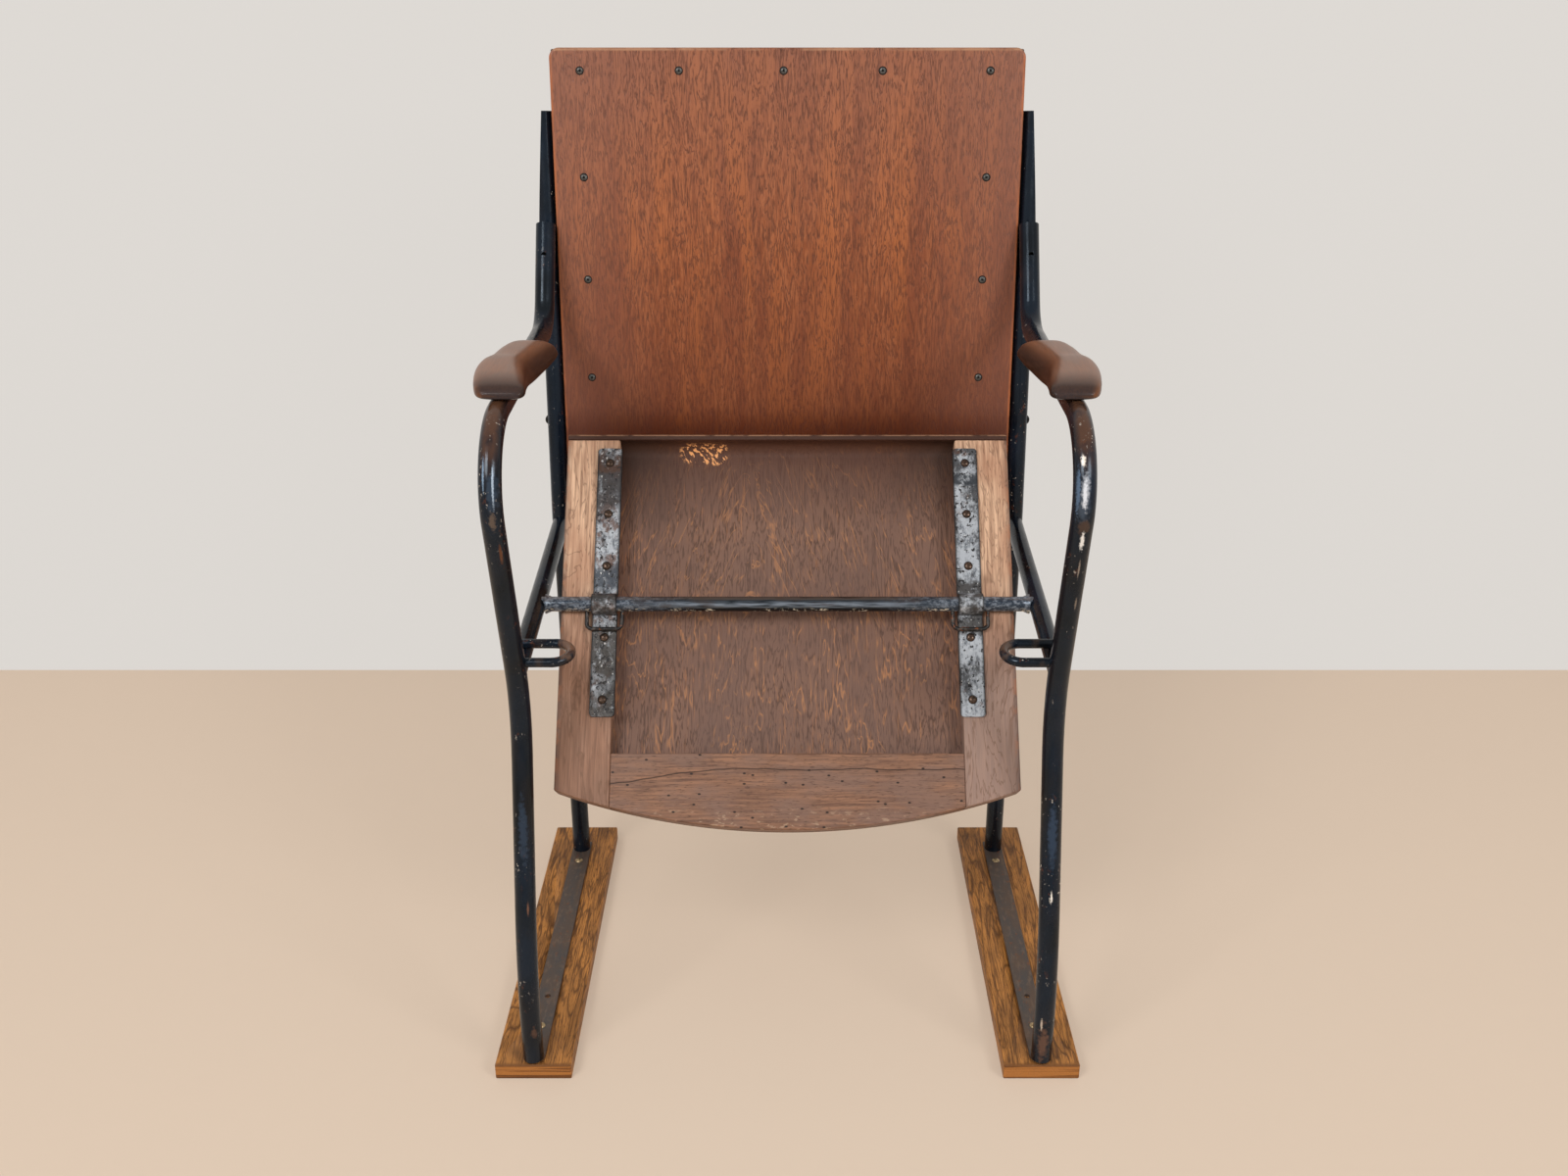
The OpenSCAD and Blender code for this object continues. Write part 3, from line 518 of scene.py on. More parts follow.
def foot_iron():
    """Flat iron under old brown paint and floor dirt: nearly matt, with paler wear."""
    made, place = new_finish("browned_iron", roughness=0.5, metallic=0.2)
    c = colours()
    pale = patches(place, (5, 14, 5), 0.52, 0.66, 0.5, detail=5, rough=0.65, shift=4)
    skin = painted(c.foot_iron, (patches(place, (12, 40, 12), 0.35, 0.65), "#4a4441"),
                   (pale, "#7c6552"),
                   (patches(place, (6, 9, 6), 0.64, 0.7, 0.5, shift=9), c.rust))
    return surfaced(made, skin, grown(place, (4, 6, 4), detail=4), 0.3)


def stop_iron():
    """Drawn iron wire, bent and darkened: a dull near-black with grey rubs and rust."""
    made, place = new_finish("darkened_wire", roughness=0.4, metallic=0.3)
    skin = painted("#1f1d1c", (patches(place, (4, 4, 4), 0.52, 0.68), "#5a514a"),
                   (patches(place, (5, 5, 5), 0.6, 0.66, shift=3), colours().rust))
    return surfaced(made, skin, grown(place, (3, 3, 3)), 0.2)


def screw_metal(name, tone, roughness):
    """Turned steel or brass, tarnished: bright in clouds, with darker metal between them. Its
    relief is coarser than real tool marks, so that it shows."""
    made, place = new_finish(name, roughness=roughness, metallic=0.75)
    bright = linear(tone)
    tarnished = [part * 0.45 for part in bright[:3]] + [1.0]
    skin = painted(tarnished, (patches(place, (2.5, 2.5, 2.5), 0.38, 0.62), bright))
    return surfaced(made, skin, grown(place, (1.2, 1.2, 1.2)), 0.08)


def back_veneer():
    """Rotary-cut mahogany plywood under old varnish: fine upright flecks about a millimetre wide
    that weave around each other, with a soft shine, greyer at the sides and worn orange along the
    edges with a painted highlight along the sides, with painted shade towards the lower corners
    and a painted shadow of the seat along the lower edge."""
    made, place = new_finish("varnished_mahogany_plywood", roughness=0.42, specular_ior_level=0.25,
                             coat_weight=0.06, coat_roughness=0.3)
    c = colours()
    # flecks and pores are drawn a few times as wide as the real ones, so that they show
    light = patches(place, (2.2, 2.2, 34), 0.4, 0.6, 0.8, detail=4, rough=0.6, bend=0.5)
    fleck = lines(place, (9, 9, 96), 0.028, 0.9, every=0.11,
                  detail=4, rough=0.6, bend=0.35, shift=4)
    pores = patches(place, (1.4, 1.4, 20), 0.58, 0.66, 0.5, shift=9, bend=0.4)
    broad = patches(place, (30, 30, 600), 0.42, 0.6, 0.6, shift=2)
    orange = patches(place, (26, 26, 600), 0.5, 0.62, 0.6, shift=6)
    # the side edges: worn orange in patches, and a painted highlight
    worn_side_and_highlight = together(beside(place, 0, 236.2, 238, 0.8),
                         patches(place, (20, 20, 40), 0.35, 0.55, shift=3))
    worn_top = together(along(place, "Z", 929.3, 930.6),
                        patches(place, (30, 20, 20), 0.4, 0.6, shift=5))
    skin = painted(
        c.back_mid, (light, c.back_light), (broad, "#7a412b"), (orange, "#ac6336"),
        # the upper part is bleached by light, the lower part a deeper red-brown
        (along(place, "Z", 740, 930, 0.55), "#90614e"),
        (fleck, c.back_dark), (pores, "#3f241a"),
        (along(place, "Z", 780, 520, 0.64), "#602a12"),
        (beside(place, 0, 130, 225, 0.4), "#875d4e"),
        # painted shade towards the lower corners, and a painted shadow of the seat's lip along the
        # lower edge
        (together(beside(place, 0, 120, 225, 0.3), along(place, "Z", 690, 570)), "#56291a"),
        (along(place, "Z", 572, 546, 0.6), "#42190c"),
        (worn_side_and_highlight, "#b5693f"), (worn_top, "#a87a5c"))
    return surfaced(made, skin, fleck, -0.35, (fleck, 0.36, 0.5))


def seat_plane(place):
    """Object coordinates turned into the seat's own: x across, y to the rear, z up."""
    return add(place.id_data, "ShaderNodeMapping", {
        "Vector": place, "Rotation": (TIP, 0, 0),
        "Location": -(Matrix.Rotation(TIP, 3, "X") @ PIVOT)})


def seat_veneer():
    """Birch plywood, dark-stained and scraped: a matt brown ground with thin wavy orange-brown
    strokes where the figure shows through, a patch of fresh diagonal scratches near the lip, and
    painted shade in the corners by the stiles."""
    made, place = new_finish("stained_birch_plywood", roughness=0.5, specular_ior_level=0.22)
    tree = made.node_tree
    c = colours()
    own = seat_plane(place)
    fibre = lines(own, (13, 95, 13), 0.028, 0.8, every=0.1, detail=4, rough=0.6, bend=0.35, shift=3)
    cloud = patches(own, (60, 80, 60), 0.35, 0.65, 0.6, shift=4)
    strokes = together(patches(own, (50, 90, 50), 0.45, 0.6, shift=7),
                       patches(own, (2, 24, 2), 0.57, 0.66, 0.6, shift=11, bend=0.35))
    veins = together(
        patches(own, (34, 50, 34), 0.44, 0.56, shift=2), along(own, "Y", -25, 15),
        lines(own, (20, 120, 20), 0.012, 0.95, every=0.11, detail=3.5, rough=0.55, bend=0.35))
    # the figure of the front half arches over a point left of the middle: its lines are pushed to
    # the front there, by an amount that falls off to both sides, with a rounded top
    arch_x, arch_round, arch_slope = 38 * MM, 22 * MM, -3.1
    x = add(tree, "ShaderNodeSeparateXYZ", {0: own})
    aside = add(tree, "ShaderNodeMath", {0: x, 1: arch_x})
    corner = add(tree, "ShaderNodeCombineXYZ", {0: aside, 1: arch_round})
    apart = add(tree, "ShaderNodeVectorMath", {0: corner}, out="Value", operation="LENGTH")
    amount = add(tree, "ShaderNodeMath", {0: apart, 1: arch_slope}, operation="MULTIPLY")
    push = add(tree, "ShaderNodeCombineXYZ", {1: amount})
    arched = add(tree, "ShaderNodeVectorMath", {0: own, 1: push})
    arches = together(
        along(own, "Y", 30, 0), patches(own, (18, 34, 18), 0.42, 0.54, 0.8, shift=5),
        lines(arched, (52, 70, 60), 0.01, every=0.12, detail=4, rough=0.55, bend=0.4, shift=2))
    # the scratches lie askew, on the underside and inside a ragged patch only
    askew = add(tree, "ShaderNodeMapping", {"Vector": own, "Rotation": (0, 0, math.radians(28))})
    scratches = together(
        along(own, "Z", 31, 30), along(own, "Y", -177.5, -176.5),
        spot(own, (-86, -171, 28), (27, 16, 30), 0.2, 0.6),
        patches(askew, (2.4, 9, 2.4), 0.525, 0.55, shift=5, detail=2))
    dirt = together(beside(own, 0, 96, 173, 0.8), along(own, "Y", -70, -160))
    lip = together(along(own, "Y", -177.2, -178), along(own, "Z", 10, 9))
    worn_edge = together(along(own, "Y", -181.4, -182.4),
                         patches(own, (14, 6, 6), 0.36, 0.5, 0.8, shift=3))
    skin = painted(
        c.seat_mid, (fibre, c.seat_dark), (cloud, "#6a5147"), (strokes, "#a16d4b"),
        (veins, c.seat_light), (arches, c.seat_light),
        # the stain is darker and redder near the lip
        (along(own, "Y", -90, -172, 0.78), "#4a291b"),
        # painted shade in the corners that the stiles make, darkest near the lip
        (dirt, "#33231b"), (scratches, "#e8a368"), (lip, "#432a20"), (worn_edge, "#a57c5f"))
    return surfaced(made, skin, fibre, -0.2)


def seat_stile_wood():
    """Beech, planed and worn nearly bare: pale towards the front edge, browner to the rear, with
    short dark flecks, fine grain along the stile and painted grey shade at the outer edges, with
    reddish patches there."""
    made, place = new_finish("worn_beech", roughness=0.55, specular_ior_level=0.25)
    c = colours()
    own = seat_plane(place)
    # the grain is drawn coarser than real beech, so that it shows
    grain = patches(own, (2.6, 60, 2.6), 0.38, 0.62, 0.9, detail=4, rough=0.62, bend=0.6)
    fleck = lines(own, (22, 120, 22), 0.018, 0.6, every=0.12,
                  detail=4, rough=0.6, bend=0.8, shift=5)
    cloud = patches(own, (28, 60, 28), 0.42, 0.62, 0.6, shift=8)
    # painted shade along the stiles' outer edges, with reddish patches over it
    rim = beside(own, 0, 221, 227, 0.65)
    skin = painted(
        c.stile_light, (along(own, "Y", -40, 60), c.stile_dark),
        (grain, "#9a755c"), (cloud, "#ab7c60"),
        (along(own, "Y", 60, 190, 0.35), "#6f5243"),
        (together(along(own, "Y", -30, 60), grain), "#7b5947"),
        # the right stile is greyer to the rear
        (together(along(place, "X", 150, 175), along(own, "Y", 0, 90, 0.5)), "#a48e84"),
        (fleck, "#694a37"), (rim, "#4d3a35"),
        (together(rim, patches(own, (8, 20, 8), 0.5, 0.58, shift=2)), "#a56a48"))
    return surfaced(made, skin, grown(own, (2, 26, 2), detail=4), 0.2)


def seat_rail_wood():
    """Stained beech, its grain across the chair, with a long drying crack, nail holes and rubbed
    pale spots at the lower edge."""
    made, place = new_finish("stained_beech", roughness=0.5, specular_ior_level=0.25)
    tree = made.node_tree
    c = colours()
    own = seat_plane(place)
    grain = patches(own, (60, 2.6, 2.6), 0.38, 0.62, 0.9, detail=4, rough=0.62, bend=0.6)
    fleck = patches(own, (7, 1, 1), 0.57, 0.67, 0.65, shift=5, detail=2)
    cloud = patches(own, (50, 24, 24), 0.4, 0.6, 0.7, shift=8)
    rubbed = together(along(own, "Y", 196, 214), patches(own, (7, 3, 3), 0.6, 0.66, 0.7, shift=3))
    # the crack wavers along the rail, and left of crack_x it bends to the rear
    crack_y, crack_x, crack_bend = 167.8 * MM, -70 * MM, -0.14
    crack_waver, crack_half = 7 * MM, 0.75 * MM
    at = add(tree, "ShaderNodeSeparateXYZ", {0: own}).node.outputs
    beyond = add(tree, "ShaderNodeMath", {0: crack_x, 1: at["X"]}, operation="SUBTRACT")
    left = add(tree, "ShaderNodeMath", {0: beyond, 1: 0.0}, operation="MAXIMUM")
    bent = add(tree, "ShaderNodeMath", {0: left, 1: crack_bend, 2: at["Y"]},
               operation="MULTIPLY_ADD")
    wave = grown(own, (45, 900, 900), detail=2)
    wavy = add(tree, "ShaderNodeMath", {0: wave, 1: crack_waver, 2: bent},
               operation="MULTIPLY_ADD")
    off = add(tree, "ShaderNodeMath", {0: wavy, 1: crack_y}, operation="SUBTRACT")
    crack = add(tree, "ShaderNodeMapRange", {
        "Value": add(tree, "ShaderNodeMath", {0: off}, operation="ABSOLUTE"),
        "From Min": crack_half, "From Max": 0.4 * crack_half, "To Max": 0.9})
    # nail holes of about 3 mm, one in each cell of 36 by 22 mm
    spaced = add(tree, "ShaderNodeMapping", {"Vector": own, "Scale": (28, 46, 1)})
    cells = add(tree, "ShaderNodeTexVoronoi", {"Vector": spaced, "Scale": 1.0},
                voronoi_dimensions="2D")
    holes = add(tree, "ShaderNodeMapRange", {"Value": cells, "From Min": 0.055, "From Max": 0.03})
    skin = painted(c.rail_light, (grain, c.rail_dark), (cloud, "#7d6154"), (fleck, "#473227"),
                   (rubbed, "#a88c73"), (crack, "#33231b"), (holes, "#241914"))
    height = add(tree, "ShaderNodeMath", {0: grown(own, (50, 2.2, 2.2), detail=4), 1: crack},
                 operation="SUBTRACT")
    return surfaced(made, skin, height, 0.25)


def armrest_wood():
    """Beech carved, stained and polished by hands: grey-brown where palms lie, red-brown on the
    inner side, nearly black on the nose from old polish and painted shade, with a soft shine and
    painted shade on its lower edge, at the foot of its inner side and on faces that look down."""
    made, place = new_finish("hand_polished_beech", roughness=0.3, specular_ior_level=0.3)
    tree = made.node_tree
    c = colours()
    # how far a face looks up, and how far it looks away from the chair's middle
    normal = add(tree, "ShaderNodeNewGeometry", out="Normal")
    looks = add(tree, "ShaderNodeSeparateXYZ", {0: normal}).node.outputs
    up = looks["Z"]
    x = add(tree, "ShaderNodeSeparateXYZ", {0: place})
    side = add(tree, "ShaderNodeMath", {0: x}, operation="SIGN")
    out = add(tree, "ShaderNodeMath", {0: looks["X"], 1: side}, operation="MULTIPLY")
    top, under, inner, outer = [
        add(tree, "ShaderNodeMapRange", {"Value": way, "From Min": start, "From Max": end})
        for way, start, end in ((up, 0.45, 0.9), (up, -0.3, -0.8),
                                (out, -0.15, -0.75), (out, 0.1, 0.7))]
    grain = patches(place, (1.5, 34, 1.5), 0.36, 0.64, 0.3, detail=4)
    skin = painted(
        "#6a4a3a", (inner, c.arm_side), (top, c.arm_top),
        (together(top, patches(place, (12, 26, 12), 0.45, 0.65, 0.6)), "#7c5f4f"),
        # the nose is dark with old polish and painted shade; the lower edge and the foot of the
        # inner side get painted shade
        (along(place, "Y", -104, -139), c.arm_nose_and_shade), (along(place, "Z", 677, 668), "#2b2426"),
        (together(inner, along(place, "Z", 686, 668)), "#1a0e08"),
        (together(outer, patches(place, (14, 20, 14), 0.3, 0.6, 0.85, shift=4)), "#85522f"),
        # faces that look down get painted shade
        (grain, "#54392b"), (under, "#2b1e19"))
    return surfaced(made, skin, grown(place, (2, 24, 2)), 0.06)


def runner_oak():
    """Oiled flat-sawn oak: golden brown with open dark grain lines along the runner that run
    around the heart of the board, and darker end grain."""
    made, place = new_finish("oiled_oak", roughness=0.5, specular_ior_level=0.25)
    tree = made.node_tree
    c = colours()
    grain = lines(place, (10, 170, 10), 0.03, 0.95, every=0.1, detail=4, rough=0.55, bend=0.5)
    rings = lines(place, (30, 240, 60), 0.02, 0.9, every=0.12, detail=3, bend=0.9, shift=3)
    # real pores are a third as wide, and wouldn't show
    pores = patches(place, (0.9, 8, 0.9), 0.6, 0.67, 0.7, shift=5, detail=2)
    cloud = patches(place, (20, 50, 20), 0.42, 0.6, 0.55, shift=11)
    end = along(place, "Y", -222, -226)
    skin = painted(
        c.oak_light, (cloud, "#80572f"), (grain, "#6b4421"),
        (rings, c.oak_dark), (pores, "#4a2e17"),
        # the sawn front end, with its layers across and dark at its lower and upper edges
        (end, "#b07238"),
        (together(end, patches(place, (200, 8, 2.6), 0.5, 0.57, 0.9)), "#6b3f1c"),
        (together(end, along(place, "Z", 3.5, 0.5, 0.85)), "#4a2b15"),
        (together(end, along(place, "Z", 14, 16, 0.8)), "#54341c"))
    return surfaced(made, skin, add(tree, "ShaderNodeMath", {0: grain, 1: rings}), -0.3)


def back_frame_wood():
    """Dark-stained beech of the frame behind the back, its grain upright."""
    made, place = new_finish("dark_stained_beech", roughness=0.55)
    grain = patches(place, (3, 3, 45), 0.35, 0.65, detail=4, bend=0.4)
    pores = patches(place, (1, 1, 6), 0.6, 0.68, 0.6, shift=4)
    skin = painted("#6b452f", (grain, "#3f281c"), (pores, "#2a1a12"))
    return surfaced(made, skin, grown(place, (2.5, 2.5, 40)), 0.15)


MAKERS = {
    "enamel": black_enamel, "leg": leg_enamel, "rod": rod_enamel, "cross": cross_enamel,
    "iron_left": lambda: pitted_iron("pitted_iron_left", 0.04, 0.09, 4.0, LEFT_SMEARS),
    "iron_right": lambda: pitted_iron("pitted_iron_right", 0.07, -0.01, 0.0, RIGHT_SMEARS),
    "back": back_veneer, "seat": seat_veneer, "stile": seat_stile_wood, "rail": seat_rail_wood,
    "arm": armrest_wood, "oak": runner_oak, "frame": back_frame_wood,
    "foot": foot_iron, "stop": stop_iron,
    "screw": lambda: screw_metal("browned_steel_screws", "#6d6c68", 0.45),
    # the dark metal of the bolts; it also paints the shade in the screws' rings and sockets
    "bolts_and_screw_shade": lambda: screw_metal("dirt_in_screws", "#2b2826", 0.7),
    "hinge_screw": lambda: screw_metal("rusty_steel_screws", "#5f4b3e", 0.3),
    "brass": lambda: screw_metal("dull_brass", "#c3aa82", 0.35),
}
MATERIALS = {}


def material(name):
    """The named finish, made once."""
    if name not in MATERIALS:
        MATERIALS[name] = MAKERS[name]()
    return MATERIALS[name]


# ---------------------------------------------------------------- shapes


def on_seat(point):
    """A point of the level seat, about its pivot, at the tipped rest pose."""
    return PIVOT + (TIP_TURN @ Vector(point))


def on_back(point):
    """A point of the back's own plane in the chair's frame."""
    x, y, z = point
    return Vector((x, BACK_Y + y * math.sin(RECLINE) + z * math.cos(RECLINE),
                   BACK_Z + y * math.cos(RECLINE) - z * math.sin(RECLINE)))


def as_is(point):
    """A point that is given in the chair's frame already."""
    return Vector(point)


def new_object(name, shape, finish, sharp=35):
    """Turns a bmesh into an object with one finish, smooth except at sharp edges."""
    bmesh.ops.recalc_face_normals(shape, faces=shape.faces)
    mesh = bpy.data.meshes.new(name)
    shape.to_mesh(mesh)
    shape.free()
    mesh.materials.append(material(finish))
    mesh.shade_smooth()
    mesh.set_sharp_from_angle(angle=math.radians(sharp))
    made = bpy.data.objects.new(name, mesh)
    bpy.context.scene.collection.objects.link(made)
    return made


def applied(piece):
    """The piece with its modifiers made part of its mesh."""
    seen = piece.evaluated_get(bpy.context.evaluated_depsgraph_get())
    mesh = bpy.data.meshes.new_from_object(seen)
    if not mesh.polygons:
        raise RuntimeError(f"{piece.name} came out empty")
    piece.modifiers.clear()
    piece.data = mesh
    return piece


def bevelled(piece, width, segments=3, angle=35):
    """The piece with a rounding of the given width along the edges sharper than the angle."""
    rounding = piece.modifiers.new("edges", "BEVEL")
    rounding.width = width
    rounding.segments = segments
    rounding.limit_method = "ANGLE"
    rounding.angle_limit = math.radians(angle)
    rounding.harden_normals = True
    return applied(piece)


def lofted(name, rings, place, finish, sharp=35):
    """A closed solid through rings of points, with a flat cap at each end."""
    shape = bmesh.new()
    rows = [[shape.verts.new(place(p)) for p in ring] for ring in rings]
    for a, b in zip(rows, rows[1:]):
        for k in range(len(a)):
            j = (k + 1) % len(a)
            shape.faces.new((a[k], a[j], b[j], b[k]))
    shape.faces.new(list(reversed(rows[0])))
    shape.faces.new(rows[-1])
    return new_object(name, shape, finish, sharp)


def block(name, low, high, place, finish, edge):
    """A bevelled block between two corners of the given plane."""
    ring = ((low[1], low[2]), (high[1], low[2]), (high[1], high[2]), (low[1], high[2]))
    rings = [[(x, y, z) for y, z in ring] for x in (low[0], high[0])]
    return bevelled(lofted(name, rings, place, finish), edge)


def steps(a, b, count):
    """The numbers from a to b in count even steps, both ends included."""
    return [a + (b - a) * i / count for i in range(count + 1)]


def arc(centre, r, start, end, count):
    """Points of an arc, by angles in degrees."""
    return [(centre[0] + r * math.cos(math.radians(a)), centre[1] + r * math.sin(math.radians(a)))
            for a in steps(start, end, count)]


def placed_in(piece, body, slot, *nodes):
    """Puts the piece on the body that it rides on and hides the nodes that it stands for. Its
    finish's slot is not used.
    """
    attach(piece, body)
    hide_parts(*nodes)


def rear_edge(x):
    """How far behind the pivot the bowed rear edge lies."""
    r = (SEAT_HALF ** 2 + SEAT_BULGE ** 2) / (2 * SEAT_BULGE)
    return SEAT_REAR + SEAT_BULGE - r + math.sqrt(r * r - x * x)


def arm_z(y):
    """Height of the arm tube's centre, y behind the front feet."""
    return ARM_FRONT_Z + (y - ARM_FRONT_Y) * ARM_SLOPE


# ---------------------------------------------------------------- pieces


def dress(node, finish):
    """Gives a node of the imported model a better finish."""
    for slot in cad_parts[node].material_slots:
        slot.material = material(finish)


class CHAIR_OT_tubes(bpy.types.Operator):
    """Gives the bent tubes, rods, foot straps, rivets and bolts their finishes"""
    bl_idname = "chair.tubes"
    bl_label = "Tubes and foot straps"

    def execute(self, context):
        dress("cross_tube", "cross")
        dress("arm_rivets", "screw")
        dress("back_bolts", "bolts_and_screw_shade")
        for side in SIDES:
            dress(f"arm_tube_{side}", "leg")
            dress(f"rear_post_{side}", "enamel")
            dress(f"seat_rail_{side}", "enamel")
            dress(f"seat_rest_{side}", "rod")
            dress(f"foot_strap_{side}", "foot")
            dress(f"tip_stop_{side}", "stop")
        return {"FINISHED"}


class CHAIR_OT_runners(bpy.types.Operator):
    """Makes the two oak runners with eased edges and the spare floor hole"""
    bl_idname = "chair.runners"
    bl_label = "Runners"

    def execute(self, context):
        for side, s in SIDES.items():
            low = (s * SIDE_X - RUNNER_W / 2, -RUNNER_FRONT - MIDDLE_Y, 0)
            high = (s * SIDE_X + RUNNER_W / 2, RUNNER_L - RUNNER_FRONT - MIDDLE_Y, RUNNER_T)
            made = block(f"oak_runner_{side}", low, high, as_is, "oak", sizes().wood_edge)
            ring = arc((s * SIDE_X, FLOOR_HOLE_Y - MIDDLE_Y), FLOOR_HOLE_R, 0, 360, HOLE_STEPS)[:-1]
            cutter = lofted("hole", [[(x, y, z) for x, y in ring] for z in (-STRAP_TOP, STRAP_TOP)],
                            as_is, "oak")
            hole = made.modifiers.new("hole", "BOOLEAN")
            hole.object = cutter
            hole.solver = "EXACT"
            applied(made)
            bpy.data.objects.remove(cutter)
            placed_in(made, "frame", "runner_oak", f"runner_{side}")
        return {"FINISHED"}


def squared(v):
    """A sine or cosine made fuller, so that a round section comes nearer to a square one."""
    return math.copysign(abs(v) ** ARMREST_SQUARENESS, v)


def carved_ring(section):
    """The points of one carved section of the right armrest."""
    part, outer, inner_top, inner_low, top, under = section
    y = ARMREST_FRONT + part * ARMREST_L
    ring = []
    for k in range(CARVED_POINTS):
        a = math.tau * (k + 0.5) / CARVED_POINTS
        out, up = (1 + squared(math.cos(a))) / 2, (1 + squared(math.sin(a))) / 2
        inner = inner_low + (inner_top - inner_low) * up
        ring.append((SIDE_X + ARMREST_W * (inner + (outer - inner) * out), y - MIDDLE_Y,
                     arm_z(y) + ARMREST_RISE * (under + (top - under) * up)))
    return ring


def between(rows, i, t):
    """The values of a smooth curve through the rows, at t from row i to the next: a cubic, whose
    slope at each row is half the step between the rows on both sides of it."""
    a, b, c, d = rows[max(i - 1, 0)], rows[i], rows[i + 1], rows[min(i + 2, len(rows) - 1)]
    return [q + t * (r - p) / 2 + t ** 2 * (p - 2.5 * q + 2 * r - v / 2)
            + t ** 3 * (3 * (q - r) + v - p) / 2 for p, q, r, v in zip(a, b, c, d)]


class CHAIR_OT_armrests(bpy.types.Operator):
    """Makes the two carved armrests"""
    bl_idname = "chair.armrests"
    bl_label = "Armrests"

    def execute(self, context):
        sections = [between(ARMREST_SECTIONS, i, t) for i in range(len(ARMREST_SECTIONS) - 1)
                    for t in steps(0, 1, CARVED_STEPS)[:-1]]
        rings = [carved_ring(section) for section in sections + [ARMREST_SECTIONS[-1]]]
        for side, s in SIDES.items():
            mirrored = [[(s * x, y, z) for x, y, z in ring] for ring in rings]
            made = lofted(f"carved_armrest_{side}", mirrored, as_is, "arm", sharp=55)
            bevelled(made, sizes().carved_edge, angle=55)
            placed_in(made, "frame", "arm_wood", f"armrest_{side}")
        return {"FINISHED"}


class CHAIR_OT_back(bpy.types.Operator):
    """Makes the back panel and the wooden frame behind it"""
    bl_idname = "chair.back"
    bl_label = "Back"

    def execute(self, context):
        x, y, r = BACK_W / 2 - BACK_CORNER, BACK_H - BACK_CORNER, BACK_CORNER
        corners = ((x, y), (-x, y), (-x, r), (x, r))
        ring = [point for k, corner in enumerate(corners)
                for point in arc(corner, r, 90 * k, 90 * (k + 1), CORNER_STEPS)]
        panel = lofted("back_veneer_panel", [[(x, y, z) for x, y in ring] for z in (0, BACK_T)],
                       on_back, "back")
        bevelled(panel, sizes().back_edge)
        placed_in(panel, "frame", "back_veneer", "back_panel")
        outer = BACK_W / 2 - BACK_FRAME_INSET
        inner = outer - BACK_FRAME_W
        low, top = BACK_FRAME_INSET, BACK_H - BACK_FRAME_INSET
        front, rear = BACK_T, BACK_T + BACK_FRAME_T
        boxes = {
            "back_stile_left": ((-outer, low, front), (-inner, top, rear)),
            "back_stile_right": ((inner, low, front), (outer, top, rear)),
            "back_top_rail": ((-inner, top - BACK_FRAME_W, front), (inner, top, rear)),
            "back_bottom_rail": ((-inner, low, front), (inner, low + BACK_FRAME_W, rear)),
        }
        for node, (a, b) in boxes.items():
            made = block(f"wood_{node}", a, b, on_back, "frame", sizes().wood_edge)
            placed_in(made, "frame", "back_frame_wood", node)
        return {"FINISHED"}


def seat_wood(name, xs, finish, node):
    """A board under the seat's plywood, cut at the bowed rear edge: a stile, rounded in the bend of
    the plywood, or the rear rail."""
    front = PLY_T - SEAT_FRONT
    if finish == "stile":
        bend = (front + LIP_R, PLY_Z - LIP_R)
        start = [(front, UNDER_Z)] + arc(bend, LIP_R, 180, 90, CORNER_STEPS)
    else:
        start = [(REAR_RAIL_Y, UNDER_Z), (REAR_RAIL_Y, PLY_Z)]
    rings = []
    for x in xs:
        ring = start + [(rear_edge(x), PLY_Z), (rear_edge(x), UNDER_Z)]
        rings.append([(x, y, z) for y, z in ring])
    made = bevelled(lofted(name, rings, on_seat, finish), sizes().wood_edge, angle=50)
    placed_in(made, "seat", "seat_frame_wood", node)


class CHAIR_OT_seat(bpy.types.Operator):
    """Makes the plywood seat with its rolled front edge, the stiles and the rear rail"""
    bl_idname = "chair.seat"
    bl_label = "Seat"

    def execute(self, context):
        outer_r = LIP_R + PLY_T
        bend = (-SEAT_FRONT + outer_r, PLY_Z + PLY_T - outer_r)
        rings = []
        for x in steps(-SEAT_HALF, SEAT_HALF, SEAT_STEPS):
            rear = rear_edge(x)
            ring = [(-SEAT_FRONT, UNDER_Z)] + arc(bend, outer_r, 180, 90, BEND_STEPS)
            ring += [(rear, PLY_Z + PLY_T), (rear, PLY_Z)]
            ring += arc(bend, LIP_R, 90, 180, BEND_STEPS) + [(-SEAT_FRONT + PLY_T, UNDER_Z)]
            rings.append([(x, y, z) for y, z in ring])
        ply = bevelled(lofted("seat_plywood", rings, on_seat, "seat"), sizes().wood_edge, angle=50)
        placed_in(ply, "seat", "seat_veneer", "seat_panel")
        inner = SEAT_HALF - STILE_W
        left = steps(-SEAT_HALF, -inner, STILE_STEPS)
        right = steps(inner, SEAT_HALF, STILE_STEPS)
        seat_wood("stile_wood_left", left, "stile", "seat_stile_left")
        seat_wood("stile_wood_right", right, "stile", "seat_stile_right")
        seat_wood("rear_rail_wood", steps(-inner, inner, RAIL_STEPS), "rail", "seat_rear_rail")
        return {"FINISHED"}


